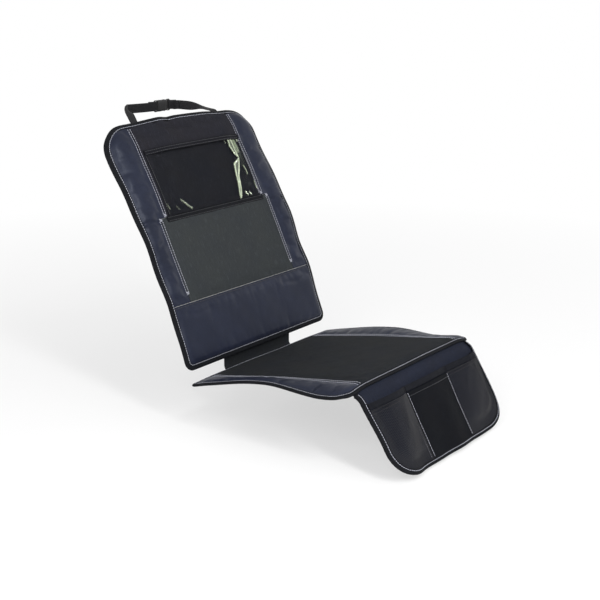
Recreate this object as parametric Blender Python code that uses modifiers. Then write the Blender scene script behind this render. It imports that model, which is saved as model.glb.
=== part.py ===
"""Car seat protector for use under a child seat.

A padded back section leans on the seat's backrest and hangs from the headrest posts by a webbing
strap with a side-release buckle. A narrow neck in the crease joins it to a padded seat section,
which ends in a front flap with three pockets. Each sheet is cut flat and then laid on the seat.

X runs across the seat, -Y points to its front edge and Z is up. The origin is in the crease, under
the middle of the seat section's rear edge. Lengths are in metres.
"""

import math

import bmesh
import bpy
from mathutils import Matrix, Vector

# Overall sizes
WIDTH = 0.470
BACK_LENGTH = 0.531
SEAT_LENGTH = 0.395
FLAP_WIDTH = 0.410
FLAP_UNDERLAP = 0.023
FLAP_LENGTH = 0.190
NECK_WIDTH = 0.220

# The car seat's surface that the protector lies on
BACK_FOOT = (0.007, 0.028)
BACK_RECLINE = 20.0
LUMBAR_HEIGHT = 0.134
LUMBAR_BEND_LENGTH = 0.012
LUMBAR_BEND = 6.0
SHOULDER_LENGTH = 0.060
SHOULDER_BEND = 26.0
SEAT_RISE = 10.5
NOSE_LEAD = 0.023
NOSE_LENGTH = 0.050
NOSE_BEND = 70.0
BACK_CROWN = 0.024
SEAT_CROWN = 0.012
CREASE_RADIUS = 0.012
NECK_BEND = 0.004
NECK_OVERLAP = 0.032

# Thicknesses of the layers, from the car seat outwards
LINING = 0.0008
FOAM = 0.0040
COVER = 0.0010
FLAP_SHEET = 0.0010
NECK_SHEET = 0.0016
SEAM_GAP = 0.0004

# Edge binding
TAPE = 0.0010
LIP = 0.0105
EDGE_CHAMFER = 0.0020

# Corners
TOP_RADIUS = 0.062
FOOT_RADIUS = 0.020
SEAT_REAR_RADIUS = 0.014
SEAT_FRONT_RADIUS = 0.034
FLAP_RADIUS = 0.050

# Seams on the back and the seat
WING_WIDTH = 0.079
LOWER_WING_WIDTH = 0.063
SEAT_SIDE_WIDTH = 0.063
POCKET_FOOT = 0.316
PANEL_JOINT = 0.0010
WING_BULGE = 0.007
BULGE_RISE = 0.016

# Tablet pocket on the back
WINDOW_TOP = 0.464
WINDOW_MARGIN = 0.014
WINDOW_DEPTH = 0.0110
WINDOW_FILM = 0.0008
GUSSET_FOOT = 0.012
GUSSET_SHEET = 0.0010
HEM_HEIGHT = 0.012
BAND_HEIGHT = 0.012

# Pockets on the flap
POCKET_HEM_DROP = 0.039
DIVIDER = 0.075
DIVIDER_GAP = 0.0010
POCKET_SHEET = 0.0010
NET_BELLY = 0.024
MIDDLE_BELLY = 0.012
NET_GAP = 0.0125
NET_STRAND = 0.0035
NET_MARGIN = 0.013

# Head strap and its buckle
WEB_WIDTH = 0.025
WEB_THICK = 0.0016
STRAP_SPREAD = 0.120
STRAP_SEWN_LENGTH = 0.036
STRAP_HEIGHT = 0.519
STRAP_REAR = 0.3095
POST_SPACING = 0.147
POST_RADIUS = 0.007
BUCKLE_X = 0.0445
SOCKET_LENGTH = 0.024
SOCKET_WIDTH = 0.031
SOCKET_THICK = 0.0092
SOCKET_WALL = 0.0018
WINDOW_LENGTH = 0.0105
WINDOW_FROM_MOUTH = 0.0045
BAR = 0.0034
STRAP_SLOT = 0.0060
FRAME_THICK = 0.0034
PLUG_BASE = 0.0060
PLUG_WIDTH = 0.0286
PLUG_THICK = 0.0078
PRONG_LENGTH = 0.0195
PRONG_WIDTH = 0.0030
PRONG_THICK = 0.0044
BARB_LENGTH = 0.0095
BARB_REACH = 0.0148
TONGUE_WIDTH = 0.0050
TAIL_LENGTH = 0.045

# How finely the sheets are creased
LUMBAR_STEPS = 2
UPPER_STEPS = 6
SHOULDER_STEPS = 4
SEAT_STEPS = 5
NOSE_STEPS = 6
FLAP_STEPS = 3
CORNER_STEPS = 5

HALF = WIDTH / 2
FLAP_HALF = FLAP_WIDTH / 2
UPPER_SEAM = HALF - WING_WIDTH
LOWER_SEAM = HALF - LOWER_WING_WIDTH
SEAT_SEAM = HALF - SEAT_SIDE_WIDTH
WINDOW_HALF_WIDTH = UPPER_SEAM - WINDOW_MARGIN
NOSE_START = SEAT_LENGTH - NOSE_LEAD
FLAP_START = SEAT_LENGTH - FLAP_UNDERLAP
FLAP_END = SEAT_LENGTH + FLAP_LENGTH
POCKET_HEM = SEAT_LENGTH + POCKET_HEM_DROP
FOAM_LOW = LINING + SEAM_GAP
COVER_LOW = FOAM_LOW + FOAM + SEAM_GAP
COVER_HIGH = COVER_LOW + COVER
SHEET_INSET = TAPE + SEAM_GAP
TAPE_HIGH = COVER_HIGH + SEAM_GAP + TAPE
TAPE_LOW = -SEAM_GAP - TAPE
UNDER_HIGH = TAPE_LOW - SEAM_GAP
FLAP_HIGH = UNDER_HIGH
FLAP_LOW = FLAP_HIGH - FLAP_SHEET
POCKET_LOW = FLAP_HIGH + SEAM_GAP + TAPE + SEAM_GAP
FLAP_TAPE_LOW = FLAP_LOW - SEAM_GAP - TAPE
FLAP_TAPE_HIGH = POCKET_LOW + POCKET_SHEET + SEAM_GAP + TAPE
CROWN_START = UPPER_SEAM
CROWN_END = HALF - LIP
BAR_LOOP = math.hypot(BAR / 2, FRAME_THICK / 2) + SEAM_GAP + WEB_THICK / 2
ACROSS = [0.0, CROWN_START, (CROWN_START + CROWN_END) / 2, CROWN_END, HALF]


def smooth_step(t):
    """Rises from 0 to 1 as t does, level at both ends."""
    t = min(max(t, 0.0), 1.0)
    return t * t * (3 - 2 * t)


def walk(start, heading, legs):
    """Side profile from a start point: each leg is (length, turn in degrees, steps). Returns
    stations and points. A heading of 0 points to +Y and 90 up."""
    y, z = start
    stations, points = [0.0], [Vector((y, z))]
    for length, turn, steps in legs:
        for _ in range(steps):
            step = length / steps
            heading += turn / steps / 2
            y += step * math.cos(math.radians(heading))
            z += step * math.sin(math.radians(heading))
            heading += turn / steps / 2
            stations.append(stations[-1] + step)
            points.append(Vector((y, z)))
    return stations, points


def column(u):
    """The creased column that a place across the sheet is in."""
    i = 0
    while i < len(ACROSS) - 2 and abs(u) > ACROSS[i + 1]:
        i += 1
    return i


class Drape:
    """The surface that sheets are laid on: a side profile, and a crown that drops towards the
    sides. It is faceted along the same lines for every layer, so that the layers stay parallel."""

    def __init__(self, path, side, crown=None):
        self.stations, self.points = path
        self.side = side
        self.crown = crown
        self.normals = [self.mitre(k) for k in range(len(self.points))]

    def leg_normal(self, k):
        leg = (self.points[k + 1] - self.points[k]).normalized()
        return Vector((-leg.y, leg.x)) * self.side

    def mitre(self, k):
        """Offset direction at a station, long enough to keep offset legs parallel."""
        last = len(self.points) - 2
        before = self.leg_normal(min(max(k - 1, 0), last))
        after = self.leg_normal(min(k, last))
        middle = (before + after).normalized()
        return middle / middle.dot(after)

    def locate(self, v):
        """The leg that v is on, and its share of that leg."""
        k = 0
        while k < len(self.stations) - 2 and v > self.stations[k + 1]:
            k += 1
        return k, (v - self.stations[k]) / (self.stations[k + 1] - self.stations[k])

    def corner_drop(self, i, k):
        """How far the crown lies below the profile at one corner of the creases."""
        if self.crown is None:
            return 0.0
        share = (ACROSS[i] - CROWN_START) / (CROWN_END - CROWN_START)
        return self.crown(self.stations[k]) * min(max(share, 0.0), 1.0) ** 2

    def drop(self, u, v):
        """How far the crown lies below the profile, flat inside each half of a creased cell."""
        k, b = self.locate(v)
        i = column(u)
        a = (abs(u) - ACROSS[i]) / (ACROSS[i + 1] - ACROSS[i])
        low, high = self.corner_drop(i, k), self.corner_drop(i + 1, k + 1)
        if a >= b:
            return low * (1 - a) + self.corner_drop(i + 1, k) * (a - b) + high * b
        return low * (1 - b) + self.corner_drop(i, k + 1) * (b - a) + high * a

    def is_twisted(self, i, k):
        """Whether a cell of the creases is too twisted to lie flat in one piece."""
        near = self.corner_drop(i + 1, k) - self.corner_drop(i, k)
        far = self.corner_drop(i + 1, k + 1) - self.corner_drop(i, k + 1)
        return abs(far - near) > 1e-6

    def place(self, u, v, w):
        """The point in space of a flat point (u, v) that lies w above the car seat."""
        k, t = self.locate(v)
        base = self.points[k].lerp(self.points[k + 1], t)
        normal = self.normals[k].lerp(self.normals[k + 1], t)
        spot = base + normal * (w - self.drop(u, v))
        return Vector((u, spot.x, spot.y))


def back_crown(s):
    return BACK_CROWN * smooth_step((s - 0.10) / 0.40)


def seat_crown(s):
    return SEAT_CROWN * smooth_step((s - 0.08) / 0.22)


def back_drape():
    upper = BACK_LENGTH - LUMBAR_HEIGHT - LUMBAR_BEND_LENGTH - SHOULDER_LENGTH
    legs = [
        (LIP, 0, 1),
        (LUMBAR_HEIGHT - LIP, 0, LUMBAR_STEPS),
        (LUMBAR_BEND_LENGTH, -LUMBAR_BEND, 1),
        (upper, 0, UPPER_STEPS),
        (SHOULDER_LENGTH - LIP, -SHOULDER_BEND, SHOULDER_STEPS),
        (LIP, 0, 1),
    ]
    return Drape(walk(BACK_FOOT, 90 - BACK_RECLINE, legs), 1, back_crown)


def seat_drape():
    before = SEAT_LENGTH - LIP - NOSE_START
    after = NOSE_LENGTH - before - LIP
    turn = NOSE_BEND / (before + after)
    legs = [
        (LIP, 0, 1),
        (NOSE_START - LIP, 0, SEAT_STEPS),
        (before, turn * before, NOSE_STEPS // 3),
        (LIP, 0, 1),
        (after, turn * after, NOSE_STEPS - NOSE_STEPS // 3),
        (FLAP_END - NOSE_START - NOSE_LENGTH, 0, FLAP_STEPS),
    ]
    return Drape(walk((0.0, 0.0), 180 - SEAT_RISE, legs), -1, seat_crown)


def rounded(corners):
    """Closed outline through (u, v, radius) corners."""
    outline = []
    for i, (u, v, radius) in enumerate(corners):
        here = Vector((u, v))
        if radius == 0:
            outline.append(here)
            continue
        to_last = (Vector(corners[i - 1][:2]) - here).normalized()
        to_next = (Vector(corners[(i + 1) % len(corners)][:2]) - here).normalized()
        half_angle = to_last.angle(to_next) / 2
        centre = here + (to_last + to_next).normalized() * (radius / math.sin(half_angle))
        run = radius / math.tan(half_angle)
        first = here + to_last * run - centre
        sweep = first.angle_signed(here + to_next * run - centre)
        for j in range(CORNER_STEPS + 1):
            turn = Matrix.Rotation(-sweep * j / CORNER_STEPS, 2)
            outline.append(centre + turn @ first)
    return outline


def edge_distance(u, v, outline):
    """Distance from a flat point to the nearest edge of an outline."""
    point = Vector((u, v))
    best = 1.0
    for a, b in zip(outline, outline[1:] + outline[:1]):
        along = b - a
        share = min(max((point - a).dot(along) / along.length_squared, 0.0), 1.0)
        best = min(best, (a + along * share - point).length)
    return best


def level(height):
    """A height that is the same all over a sheet, as a function of the flat place."""
    return lambda u, v: height


def material(name, colour, roughness, alpha=1.0):
    made = bpy.data.materials.new(name)
    made.use_nodes = True
    shader = made.node_tree.nodes["Principled BSDF"]
    shader.inputs["Base Color"].default_value = (*colour, 1.0)
    shader.inputs["Roughness"].default_value = roughness
    shader.inputs["Alpha"].default_value = alpha
    return made


def finish(name, bm, finish_material):
    """A named object from a bmesh, closed, with its faces pointing out."""
    bmesh.ops.recalc_face_normals(bm, faces=bm.faces[:])
    mesh = bpy.data.meshes.new(name)
    bm.to_mesh(mesh)
    bm.free()
    mesh.shade_smooth()
    mesh.set_sharp_from_angle(angle=math.radians(35))
    return add_object(name, mesh, finish_material)


def add_object(name, mesh, finish_material):
    obj = bpy.data.objects.new(name, mesh)
    obj.data.materials.clear()
    obj.data.materials.append(finish_material)
    PARTS.objects.link(obj)
    return obj


def cut(bm, faces, point, normal):
    """Splits faces along a line of the flat pattern."""
    edges = {e for f in faces for e in f.edges}
    verts = {v for f in faces for v in f.verts}
    bmesh.ops.bisect_plane(
        bm, geom=[*verts, *edges, *faces], dist=1e-6, plane_co=point, plane_no=normal
    )


def crease_cells(bm, drape):
    """Splits each twisted cell of the flat pattern along the diagonal that the drape folds on."""
    for face in list(bm.faces):
        middle = face.calc_center_median()
        k, _ = drape.locate(middle.y)
        i = column(middle.x)
        if not drape.is_twisted(i, k):
            continue
        side = 1 if middle.x >= 0 else -1
        low = Vector((side * ACROSS[i], drape.stations[k], 0))
        high = Vector((side * ACROSS[i + 1], drape.stations[k + 1], 0))
        run = high - low
        cut(bm, [face], low, Vector((run.y, -run.x, 0)))


def lay(name, bm, drape, finish_material):
    """Creases a flat solid where the drape folds, and lays it on the drape. The flat solid's
    points are (u, v, height)."""
    for u in ACROSS:
        for line in {u, -u}:
            cut(bm, bm.faces[:], (line, 0, 0), (1, 0, 0))
    for s in drape.stations:
        cut(bm, bm.faces[:], (0, s, 0), (0, 1, 0))
    crease_cells(bm, drape)
    for v in bm.verts:
        v.co = drape.place(*v.co)
    bmesh.ops.triangulate(bm, faces=bm.faces[:])
    return finish(name, bm, finish_material)


def sheet(name, outline, low, high, drape, finish_material, rings=(), columns=(), rows=(), gaps=()):
    """A flat pattern piece with its thickness, laid on the drape. low and high give its two
    faces' heights at a flat place. Rings are insets of the outline, and columns and rows are lines
    across it, that get points of their own. Gaps are (low u, high u, low v, high v) holes."""
    bm = bmesh.new()
    face = bm.faces.new([bm.verts.new((*p, 0)) for p in outline])
    for inset in rings:
        bmesh.ops.inset_region(
            bm, faces=[face], thickness=inset, use_boundary=True, use_even_offset=True
        )
    for u in columns:
        cut(bm, bm.faces[:], (u, 0, 0), (1, 0, 0))
    for v in rows:
        cut(bm, bm.faces[:], (0, v, 0), (0, 1, 0))
    holes = [f for f in bm.faces if in_gap(f.calc_center_median(), gaps)]
    bmesh.ops.delete(bm, geom=holes, context="FACES")
    lower = bm.verts[:]
    made = bmesh.ops.extrude_face_region(bm, geom=bm.faces[:])["geom"]
    upper = [v for v in made if isinstance(v, bmesh.types.BMVert)]
    for verts, height in ((lower, low), (upper, high)):
        for v in verts:
            v.co.z = height(v.co.x, v.co.y)
    return lay(name, bm, drape, finish_material)


def in_gap(middle, gaps):
    return any(g[0] < middle.x < g[1] and g[2] < middle.y < g[3] for g in gaps)


def tape(name, path, closed, section, drape, finish_material, lift=level(0.0)):
    """A strip of one section run along a path of the flat pattern. Each section point is (distance
    to the left of the path, height), and lift is added to the heights."""
    count = len(path)
    bm = bmesh.new()
    loops = []
    for i, here in enumerate(path):
        last = path[i - 1] if closed or i > 0 else here
        after = path[(i + 1) % count] if closed or i < count - 1 else here
        legs = [leg.normalized() for leg in (here - last, after - here) if leg.length > 1e-9]
        lefts = [Vector((-leg.y, leg.x)) for leg in legs]
        middle = (lefts[0] + lefts[-1]).normalized()
        left = middle / middle.dot(lefts[0])
        loop = []
        for distance, height in section:
            u, v = here + left * distance
            loop.append(bm.verts.new((u, v, height + lift(u, v))))
        loops.append(loop)
    pairs = zip(loops, loops[1:] + loops[:1]) if closed else zip(loops, loops[1:])
    for one, two in pairs:
        for j in range(len(section)):
            k = (j + 1) % len(section)
            bm.faces.new([one[j], one[k], two[k], two[j]])
    if not closed:
        bm.faces.new(loops[0])
        bm.faces.new(loops[-1])
    return lay(name, bm, drape, finish_material)


def fold_section(inner_low, inner_high, lip, chamfer):
    """Section of a tape folded round an edge, from the inside of the fold to its lips."""
    low = inner_low - TAPE
    high = inner_high + TAPE
    return [
        (lip, inner_high),
        (TAPE, inner_high),
        (TAPE, inner_low),
        (lip, inner_low),
        (lip, low),
        (chamfer, low),
        (0.0, low + chamfer),
        (0.0, high - chamfer),
        (chamfer, high),
        (lip, high),
    ]


def inset_corners(corners, inset):
    """Corners of a rectangle moved inwards, with their radii cut to match."""
    middle_u = sum(c[0] for c in corners) / len(corners)
    middle_v = sum(c[1] for c in corners) / len(corners)
    moved = []
    for u, v, radius in corners:
        step_u = -inset if u > middle_u else inset
        step_v = -inset if v > middle_v else inset
        moved.append((u + step_u, v + step_v, max(radius - inset, 0.0)))
    return moved


def box(name, low, high):
    """A box mesh object between two corners."""
    bm = bmesh.new()
    bmesh.ops.create_cube(bm, size=1.0)
    size = Vector(high) - Vector(low)
    middle = (Vector(high) + Vector(low)) / 2
    for v in bm.verts:
        v.co = Vector([v.co[i] * size[i] + middle[i] for i in range(3)])
    mesh = bpy.data.meshes.new(name)
    bm.to_mesh(mesh)
    bm.free()
    return bpy.data.objects.new(name, mesh)


def as_tool(obj):
    """Keeps an object as a helper for Booleans, out of the model."""
    TOOLS.objects.link(obj)
    obj.hide_render = True
    obj.display_type = "WIRE"
    return obj


def combine(target, tool, operation):
    """Adds a Boolean modifier that joins or cuts a helper."""
    modifier = target.modifiers.new(operation.lower(), "BOOLEAN")
    modifier.operation = operation
    modifier.object = as_tool(tool)


def soften(target, width):
    """Bevels a piece's sharp edges."""
    modifier = target.modifiers.new("edges", "BEVEL")
    modifier.width = width
    modifier.segments = 1
    modifier.limit_method = "ANGLE"
    modifier.angle_limit = math.radians(60)


def build_back_layers(drape, looks):
    """Lining, foam and edge binding of the back section."""
    corners = [
        (-HALF, 0.0, FOOT_RADIUS),
        (HALF, 0.0, FOOT_RADIUS),
        (HALF, BACK_LENGTH, TOP_RADIUS),
        (-HALF, BACK_LENGTH, TOP_RADIUS),
    ]
    inner = rounded(inset_corners(corners, SHEET_INSET))
    sheet("back_lining", inner, level(0.0), level(LINING), drape, looks["lining"])
    sheet("back_foam", inner, level(FOAM_LOW), level(FOAM_LOW + FOAM), drape, looks["foam"])
    section = fold_section(-SEAM_GAP, COVER_HIGH + SEAM_GAP, LIP, EDGE_CHAMFER)
    tape("back_binding", rounded(corners), True, section, drape, looks["binding"])


def wing_outline(side):
    """Side panel of the back, from the foot patch to the rounded top corner, jogged at the
    tablet pocket's foot."""
    outer = HALF - SHEET_INSET
    top = BACK_LENGTH - SHEET_INSET
    foot = LUMBAR_HEIGHT + PANEL_JOINT / 2
    upper = UPPER_SEAM + PANEL_JOINT / 2
    lower = LOWER_SEAM + PANEL_JOINT / 2
    corners = [
        (side * lower, foot, 0),
        (side * outer, foot, 0),
        (side * outer, top, TOP_RADIUS - SHEET_INSET),
        (side * upper, top, 0),
        (side * upper, POCKET_FOOT, 0),
        (side * lower, POCKET_FOOT, 0),
    ]
    return rounded(corners if side > 0 else corners[::-1])


def padded_top(outline, bulge):
    """Height of a cover that swells between its edges and stays flat under the binding."""

    def height(u, v):
        rise = (edge_distance(u, v, outline) - LIP) / BULGE_RISE
        return COVER_HIGH + bulge * smooth_step(rise)

    return height


def rectangle(low_u, high_u, low_v, high_v):
    return [Vector(p) for p in ((low_u, low_v), (high_u, low_v), (high_u, high_v), (low_u, high_v))]


def build_back_covers(drape, looks):
    """Face panels of the back section: two padded wings, two woven panels and the foot patch."""
    rings = (LIP, BULGE_RISE / 2, BULGE_RISE / 2)
    for name, side in (("back_wing_left", -1), ("back_wing_right", 1)):
        outline = wing_outline(side)
        swell = padded_top(outline, WING_BULGE)
        sheet(name, outline, level(COVER_LOW), swell, drape, looks["leatherette"], rings)
    joint = PANEL_JOINT / 2
    low, high = level(COVER_LOW), level(COVER_HIGH)
    top = BACK_LENGTH - SHEET_INSET
    upper = rectangle(joint - UPPER_SEAM, UPPER_SEAM - joint, POCKET_FOOT + joint, top)
    sheet("back_upper_panel", upper, low, high, drape, looks["woven"])
    lower = rectangle(
        joint - LOWER_SEAM, LOWER_SEAM - joint, LUMBAR_HEIGHT + joint, POCKET_FOOT - joint
    )
    sheet("back_lower_panel", lower, low, high, drape, looks["woven"])
    outer = HALF - SHEET_INSET
    foot = [
        (-outer, SHEET_INSET, FOOT_RADIUS - SHEET_INSET),
        (outer, SHEET_INSET, FOOT_RADIUS - SHEET_INSET),
        (outer, LUMBAR_HEIGHT - joint, 0),
        (-outer, LUMBAR_HEIGHT - joint, 0),
    ]
    sheet("back_foot_patch", rounded(foot), low, high, drape, looks["leatherette"])


def build_tablet_pocket(drape, looks):
    """Clear window that stands off the back on gussets, open at its hemmed top edge."""
    floor = COVER_HIGH + SEAM_GAP
    film_low = COVER_HIGH + WINDOW_DEPTH
    film_high = film_low + WINDOW_FILM
    foot = POCKET_FOOT + PANEL_JOINT
    wall_top = film_low - SEAM_GAP
    inner_foot = foot + GUSSET_SHEET + SEAM_GAP
    top = WINDOW_TOP - TAPE - SEAM_GAP
    film = rectangle(-WINDOW_HALF_WIDTH, WINDOW_HALF_WIDTH, foot, top)
    sheet("window_film", film, level(film_low), level(film_high), drape, looks["film"])

    # L-shaped gussets: a sewn foot on the panel and a wall up to the film
    section = [
        (-GUSSET_FOOT, floor),
        (0.0, floor),
        (0.0, wall_top),
        (-GUSSET_SHEET, wall_top),
        (-GUSSET_SHEET, floor + GUSSET_SHEET),
        (-GUSSET_FOOT, floor + GUSSET_SHEET),
    ]
    wall = WINDOW_HALF_WIDTH - GUSSET_SHEET
    side_top = top - HEM_HEIGHT
    left = [Vector((-wall, side_top)), Vector((-wall, foot))]
    tape("window_gusset_left", left, False, section, drape, looks["woven"])
    right = [Vector((wall, foot)), Vector((wall, side_top))]
    tape("window_gusset_right", right, False, section, drape, looks["woven"])
    foot_section = [
        (0.0, floor),
        (0.0, wall_top),
        (GUSSET_SHEET, wall_top),
        (GUSSET_SHEET, floor),
    ]
    reach = wall - SEAM_GAP
    along = [Vector((-reach, foot)), Vector((reach, foot))]
    tape("window_gusset_foot", along, False, foot_section, drape, looks["woven"])

    # The band covers the joint below the window, and the hem folds over its top edge
    band = [
        (0.0, floor),
        (BAND_HEIGHT, floor),
        (BAND_HEIGHT, floor + TAPE),
        (0.0, floor + TAPE),
    ]
    band_foot = foot - SEAM_GAP - BAND_HEIGHT
    reach = UPPER_SEAM - PANEL_JOINT
    along = [Vector((-reach, band_foot)), Vector((reach, band_foot))]
    tape("window_foot_band", along, False, band, drape, looks["binding"])
    hem = fold_section(film_low - SEAM_GAP, film_high + SEAM_GAP, HEM_HEIGHT, TAPE / 2)
    along = [Vector((WINDOW_HALF_WIDTH, WINDOW_TOP)), Vector((-WINDOW_HALF_WIDTH, WINDOW_TOP))]
    tape("window_hem", along, False, hem, drape, looks["binding"])


def build_seat(drape, looks):
    """Lining, foam, covers and edge binding of the seat section."""
    corners = [
        (-HALF, 0.0, SEAT_REAR_RADIUS),
        (HALF, 0.0, SEAT_REAR_RADIUS),
        (HALF, SEAT_LENGTH, SEAT_FRONT_RADIUS),
        (-HALF, SEAT_LENGTH, SEAT_FRONT_RADIUS),
    ]
    inner = rounded(inset_corners(corners, SHEET_INSET))
    sheet("seat_lining", inner, level(0.0), level(LINING), drape, looks["grip"])
    sheet("seat_foam", inner, level(FOAM_LOW), level(FOAM_LOW + FOAM), drape, looks["foam"])
    section = fold_section(-SEAM_GAP, COVER_HIGH + SEAM_GAP, LIP, EDGE_CHAMFER)
    tape("seat_binding", rounded(corners), True, section, drape, looks["binding"])
    front = SEAT_LENGTH - SHEET_INSET
    inner_seam = SEAT_SEAM + PANEL_JOINT / 2
    outer = HALF - SHEET_INSET
    low, high = level(COVER_LOW), level(COVER_HIGH)
    for name, side in (("seat_side_left", -1), ("seat_side_right", 1)):
        shape = [
            (side * inner_seam, SHEET_INSET, 0),
            (side * outer, SHEET_INSET, SEAT_REAR_RADIUS - SHEET_INSET),
            (side * outer, front, SEAT_FRONT_RADIUS - SHEET_INSET),
            (side * inner_seam, front, 0),
        ]
        outline = rounded(shape if side > 0 else shape[::-1])
        sheet(name, outline, low, high, drape, looks["leatherette"])
    reach = SEAT_SEAM - PANEL_JOINT / 2
    middle = rectangle(-reach, reach, SHEET_INSET, front)
    sheet("seat_middle_panel", middle, low, high, drape, looks["woven"])


def flap_corners():
    return [
        (-FLAP_HALF, FLAP_START, 0),
        (FLAP_HALF, FLAP_START, 0),
        (FLAP_HALF, FLAP_END, FLAP_RADIUS),
        (-FLAP_HALF, FLAP_END, FLAP_RADIUS),
    ]


def belly(low_u, high_u, reach):
    """Height that a pocket's wall swells to, most at the hem and none at the sewn edges."""
    outline = rounded(flap_corners())
    foot = FLAP_END - LIP

    def height(u, v):
        across = min(max((u - low_u) / (high_u - low_u), 0.0), 1.0)
        along = min(max((v - POCKET_HEM) / (foot - POCKET_HEM), 0.0), 1.0)
        clear = smooth_step((edge_distance(u, v, outline) - LIP - BULGE_RISE) / BULGE_RISE)
        return reach * clear * math.sin(math.pi * across) * math.cos(math.pi / 2 * along)

    return height


def net_gaps(low_u, high_u, low_v, high_v):
    """A net's openings, as many as fit between the margins."""
    pitch = NET_GAP + NET_STRAND
    columns = int((high_u - low_u + NET_STRAND) / pitch)
    rows = int((high_v - low_v + NET_STRAND) / pitch)
    start_u = (low_u + high_u - columns * pitch + NET_STRAND) / 2
    start_v = (low_v + high_v - rows * pitch + NET_STRAND) / 2
    return [
        (
            start_u + i * pitch,
            start_u + i * pitch + NET_GAP,
            start_v + j * pitch,
            start_v + j * pitch + NET_GAP,
        )
        for i in range(columns)
        for j in range(rows)
        if not (j == rows - 1 and i in outer_columns(low_u, columns))
    ]


def outer_columns(low_u, columns):
    """Columns next to the flap's rounded corner, where the last row is left solid."""
    return (0, 1) if low_u < 0 else (columns - 2, columns - 1)


def build_flap(drape, looks):
    """Front flap with its binding and three pockets."""
    corners = flap_corners()
    inner = rounded(inset_corners(corners, SHEET_INSET))
    sheet("flap_panel", inner, level(FLAP_LOW), level(FLAP_HIGH), drape, looks["woven"])
    section = fold_section(
        FLAP_TAPE_LOW + TAPE, FLAP_TAPE_HIGH - TAPE, LIP, EDGE_CHAMFER / 2
    )
    start = SEAT_LENGTH + SEAM_GAP * 2
    path = [Vector((FLAP_HALF, start)), *rounded(corners)[2:], Vector((-FLAP_HALF, start))]
    tape("flap_binding", path, False, section, drape, looks["binding"])

    outer = FLAP_HALF - SHEET_INSET
    foot = FLAP_END - SHEET_INSET
    radius = FLAP_RADIUS - SHEET_INSET
    wall_top = POCKET_HEM + TAPE + SEAM_GAP
    inner_u = DIVIDER + DIVIDER_GAP / 2
    for name, side in (("left", -1), ("right", 1)):
        shape = [
            (side * inner_u, wall_top, 0),
            (side * outer, wall_top, 0),
            (side * outer, foot, radius),
            (side * inner_u, foot, 0),
        ]
        outline = rounded(shape if side > 0 else shape[::-1])
        low_u, high_u = sorted((side * inner_u, side * outer))
        gaps = net_gaps(
            low_u + NET_MARGIN, high_u - NET_MARGIN, wall_top + HEM_HEIGHT, foot - NET_MARGIN
        )
        columns = sorted({g[i] for g in gaps for i in (0, 1)})
        rows = sorted({g[i] for g in gaps for i in (2, 3)})
        swell = belly(low_u, high_u, NET_BELLY)
        build_pocket(f"net_pocket_{name}", outline, swell, drape, looks["net"], columns, rows, gaps)
        ends = (low_u, high_u - LIP) if side > 0 else (low_u + LIP, high_u)
        build_hem(f"net_pocket_hem_{name}", ends, swell, drape, looks, columns)
    reach = DIVIDER - DIVIDER_GAP / 2
    outline = rectangle(-reach, reach, wall_top, foot)
    columns = [reach * (i / 4 - 1) for i in range(1, 8)]
    lip = FLAP_END - LIP
    rows = [(POCKET_HEM + lip) / 2, lip - BULGE_RISE, lip]
    swell = belly(-reach, reach, MIDDLE_BELLY)
    build_pocket("middle_pocket", outline, swell, drape, looks["woven"], columns, rows, ())
    build_hem("middle_pocket_hem", (-reach, reach), swell, drape, looks, columns)


def build_pocket(name, outline, swell, drape, finish_material, columns, rows, gaps):
    """A pocket's front wall, standing off the flap by its belly."""

    def low(u, v):
        return POCKET_LOW + swell(u, v)

    def high(u, v):
        return POCKET_LOW + POCKET_SHEET + swell(u, v)

    sheet(name, outline, low, high, drape, finish_material, columns=columns, rows=rows, gaps=gaps)


def build_hem(name, ends, swell, drape, looks, columns):
    """Elastic hem folded over a pocket's top edge, ending short of the flap's binding."""
    inside = [u for u in columns if ends[0] < u < ends[1]]
    path = [Vector((u, POCKET_HEM)) for u in reversed([ends[0], *inside, ends[1]])]
    inner_low = POCKET_LOW - SEAM_GAP
    inner_high = POCKET_LOW + POCKET_SHEET + SEAM_GAP
    section = fold_section(inner_low, inner_high, HEM_HEIGHT, TAPE / 2)
    tape(name, path, False, section, drape, looks["elastic"], swell)


def build_neck(back, seat, looks):
    """Strip through the crease, sewn under the seat section and behind the back section."""
    outer = UNDER_HIGH - NECK_SHEET
    start = seat.place(0.0, NECK_OVERLAP, outer)
    rear = seat.place(0.0, 0.0, outer)
    foot = back.place(0.0, 0.0, outer)
    recline = math.radians(BACK_RECLINE)
    rise = math.radians(SEAT_RISE)
    turn = 90.0 + SEAT_RISE
    arc = CREASE_RADIUS * math.radians(turn)
    upright_y = rear.y + CREASE_RADIUS * (1 + math.sin(rise))
    upright_foot = rear.z + CREASE_RADIUS * math.cos(rise)
    meet = foot.z + (upright_y - foot.y) / math.tan(recline)
    legs = [
        (NECK_OVERLAP, 0, 1),
        (arc, turn, 6),
        (meet - upright_foot - NECK_BEND, 0, 1),
        (NECK_BEND * 2, -BACK_RECLINE, 2),
        (NECK_OVERLAP, 0, 1),
    ]
    drape = Drape(walk((start.y, start.z), -SEAT_RISE, legs), 1)
    reach = NECK_WIDTH / 2
    outline = rectangle(-reach, reach, 0.0, drape.stations[-1])
    sheet("neck_strip", outline, level(0.0), level(NECK_SHEET), drape, looks["woven"])


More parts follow.
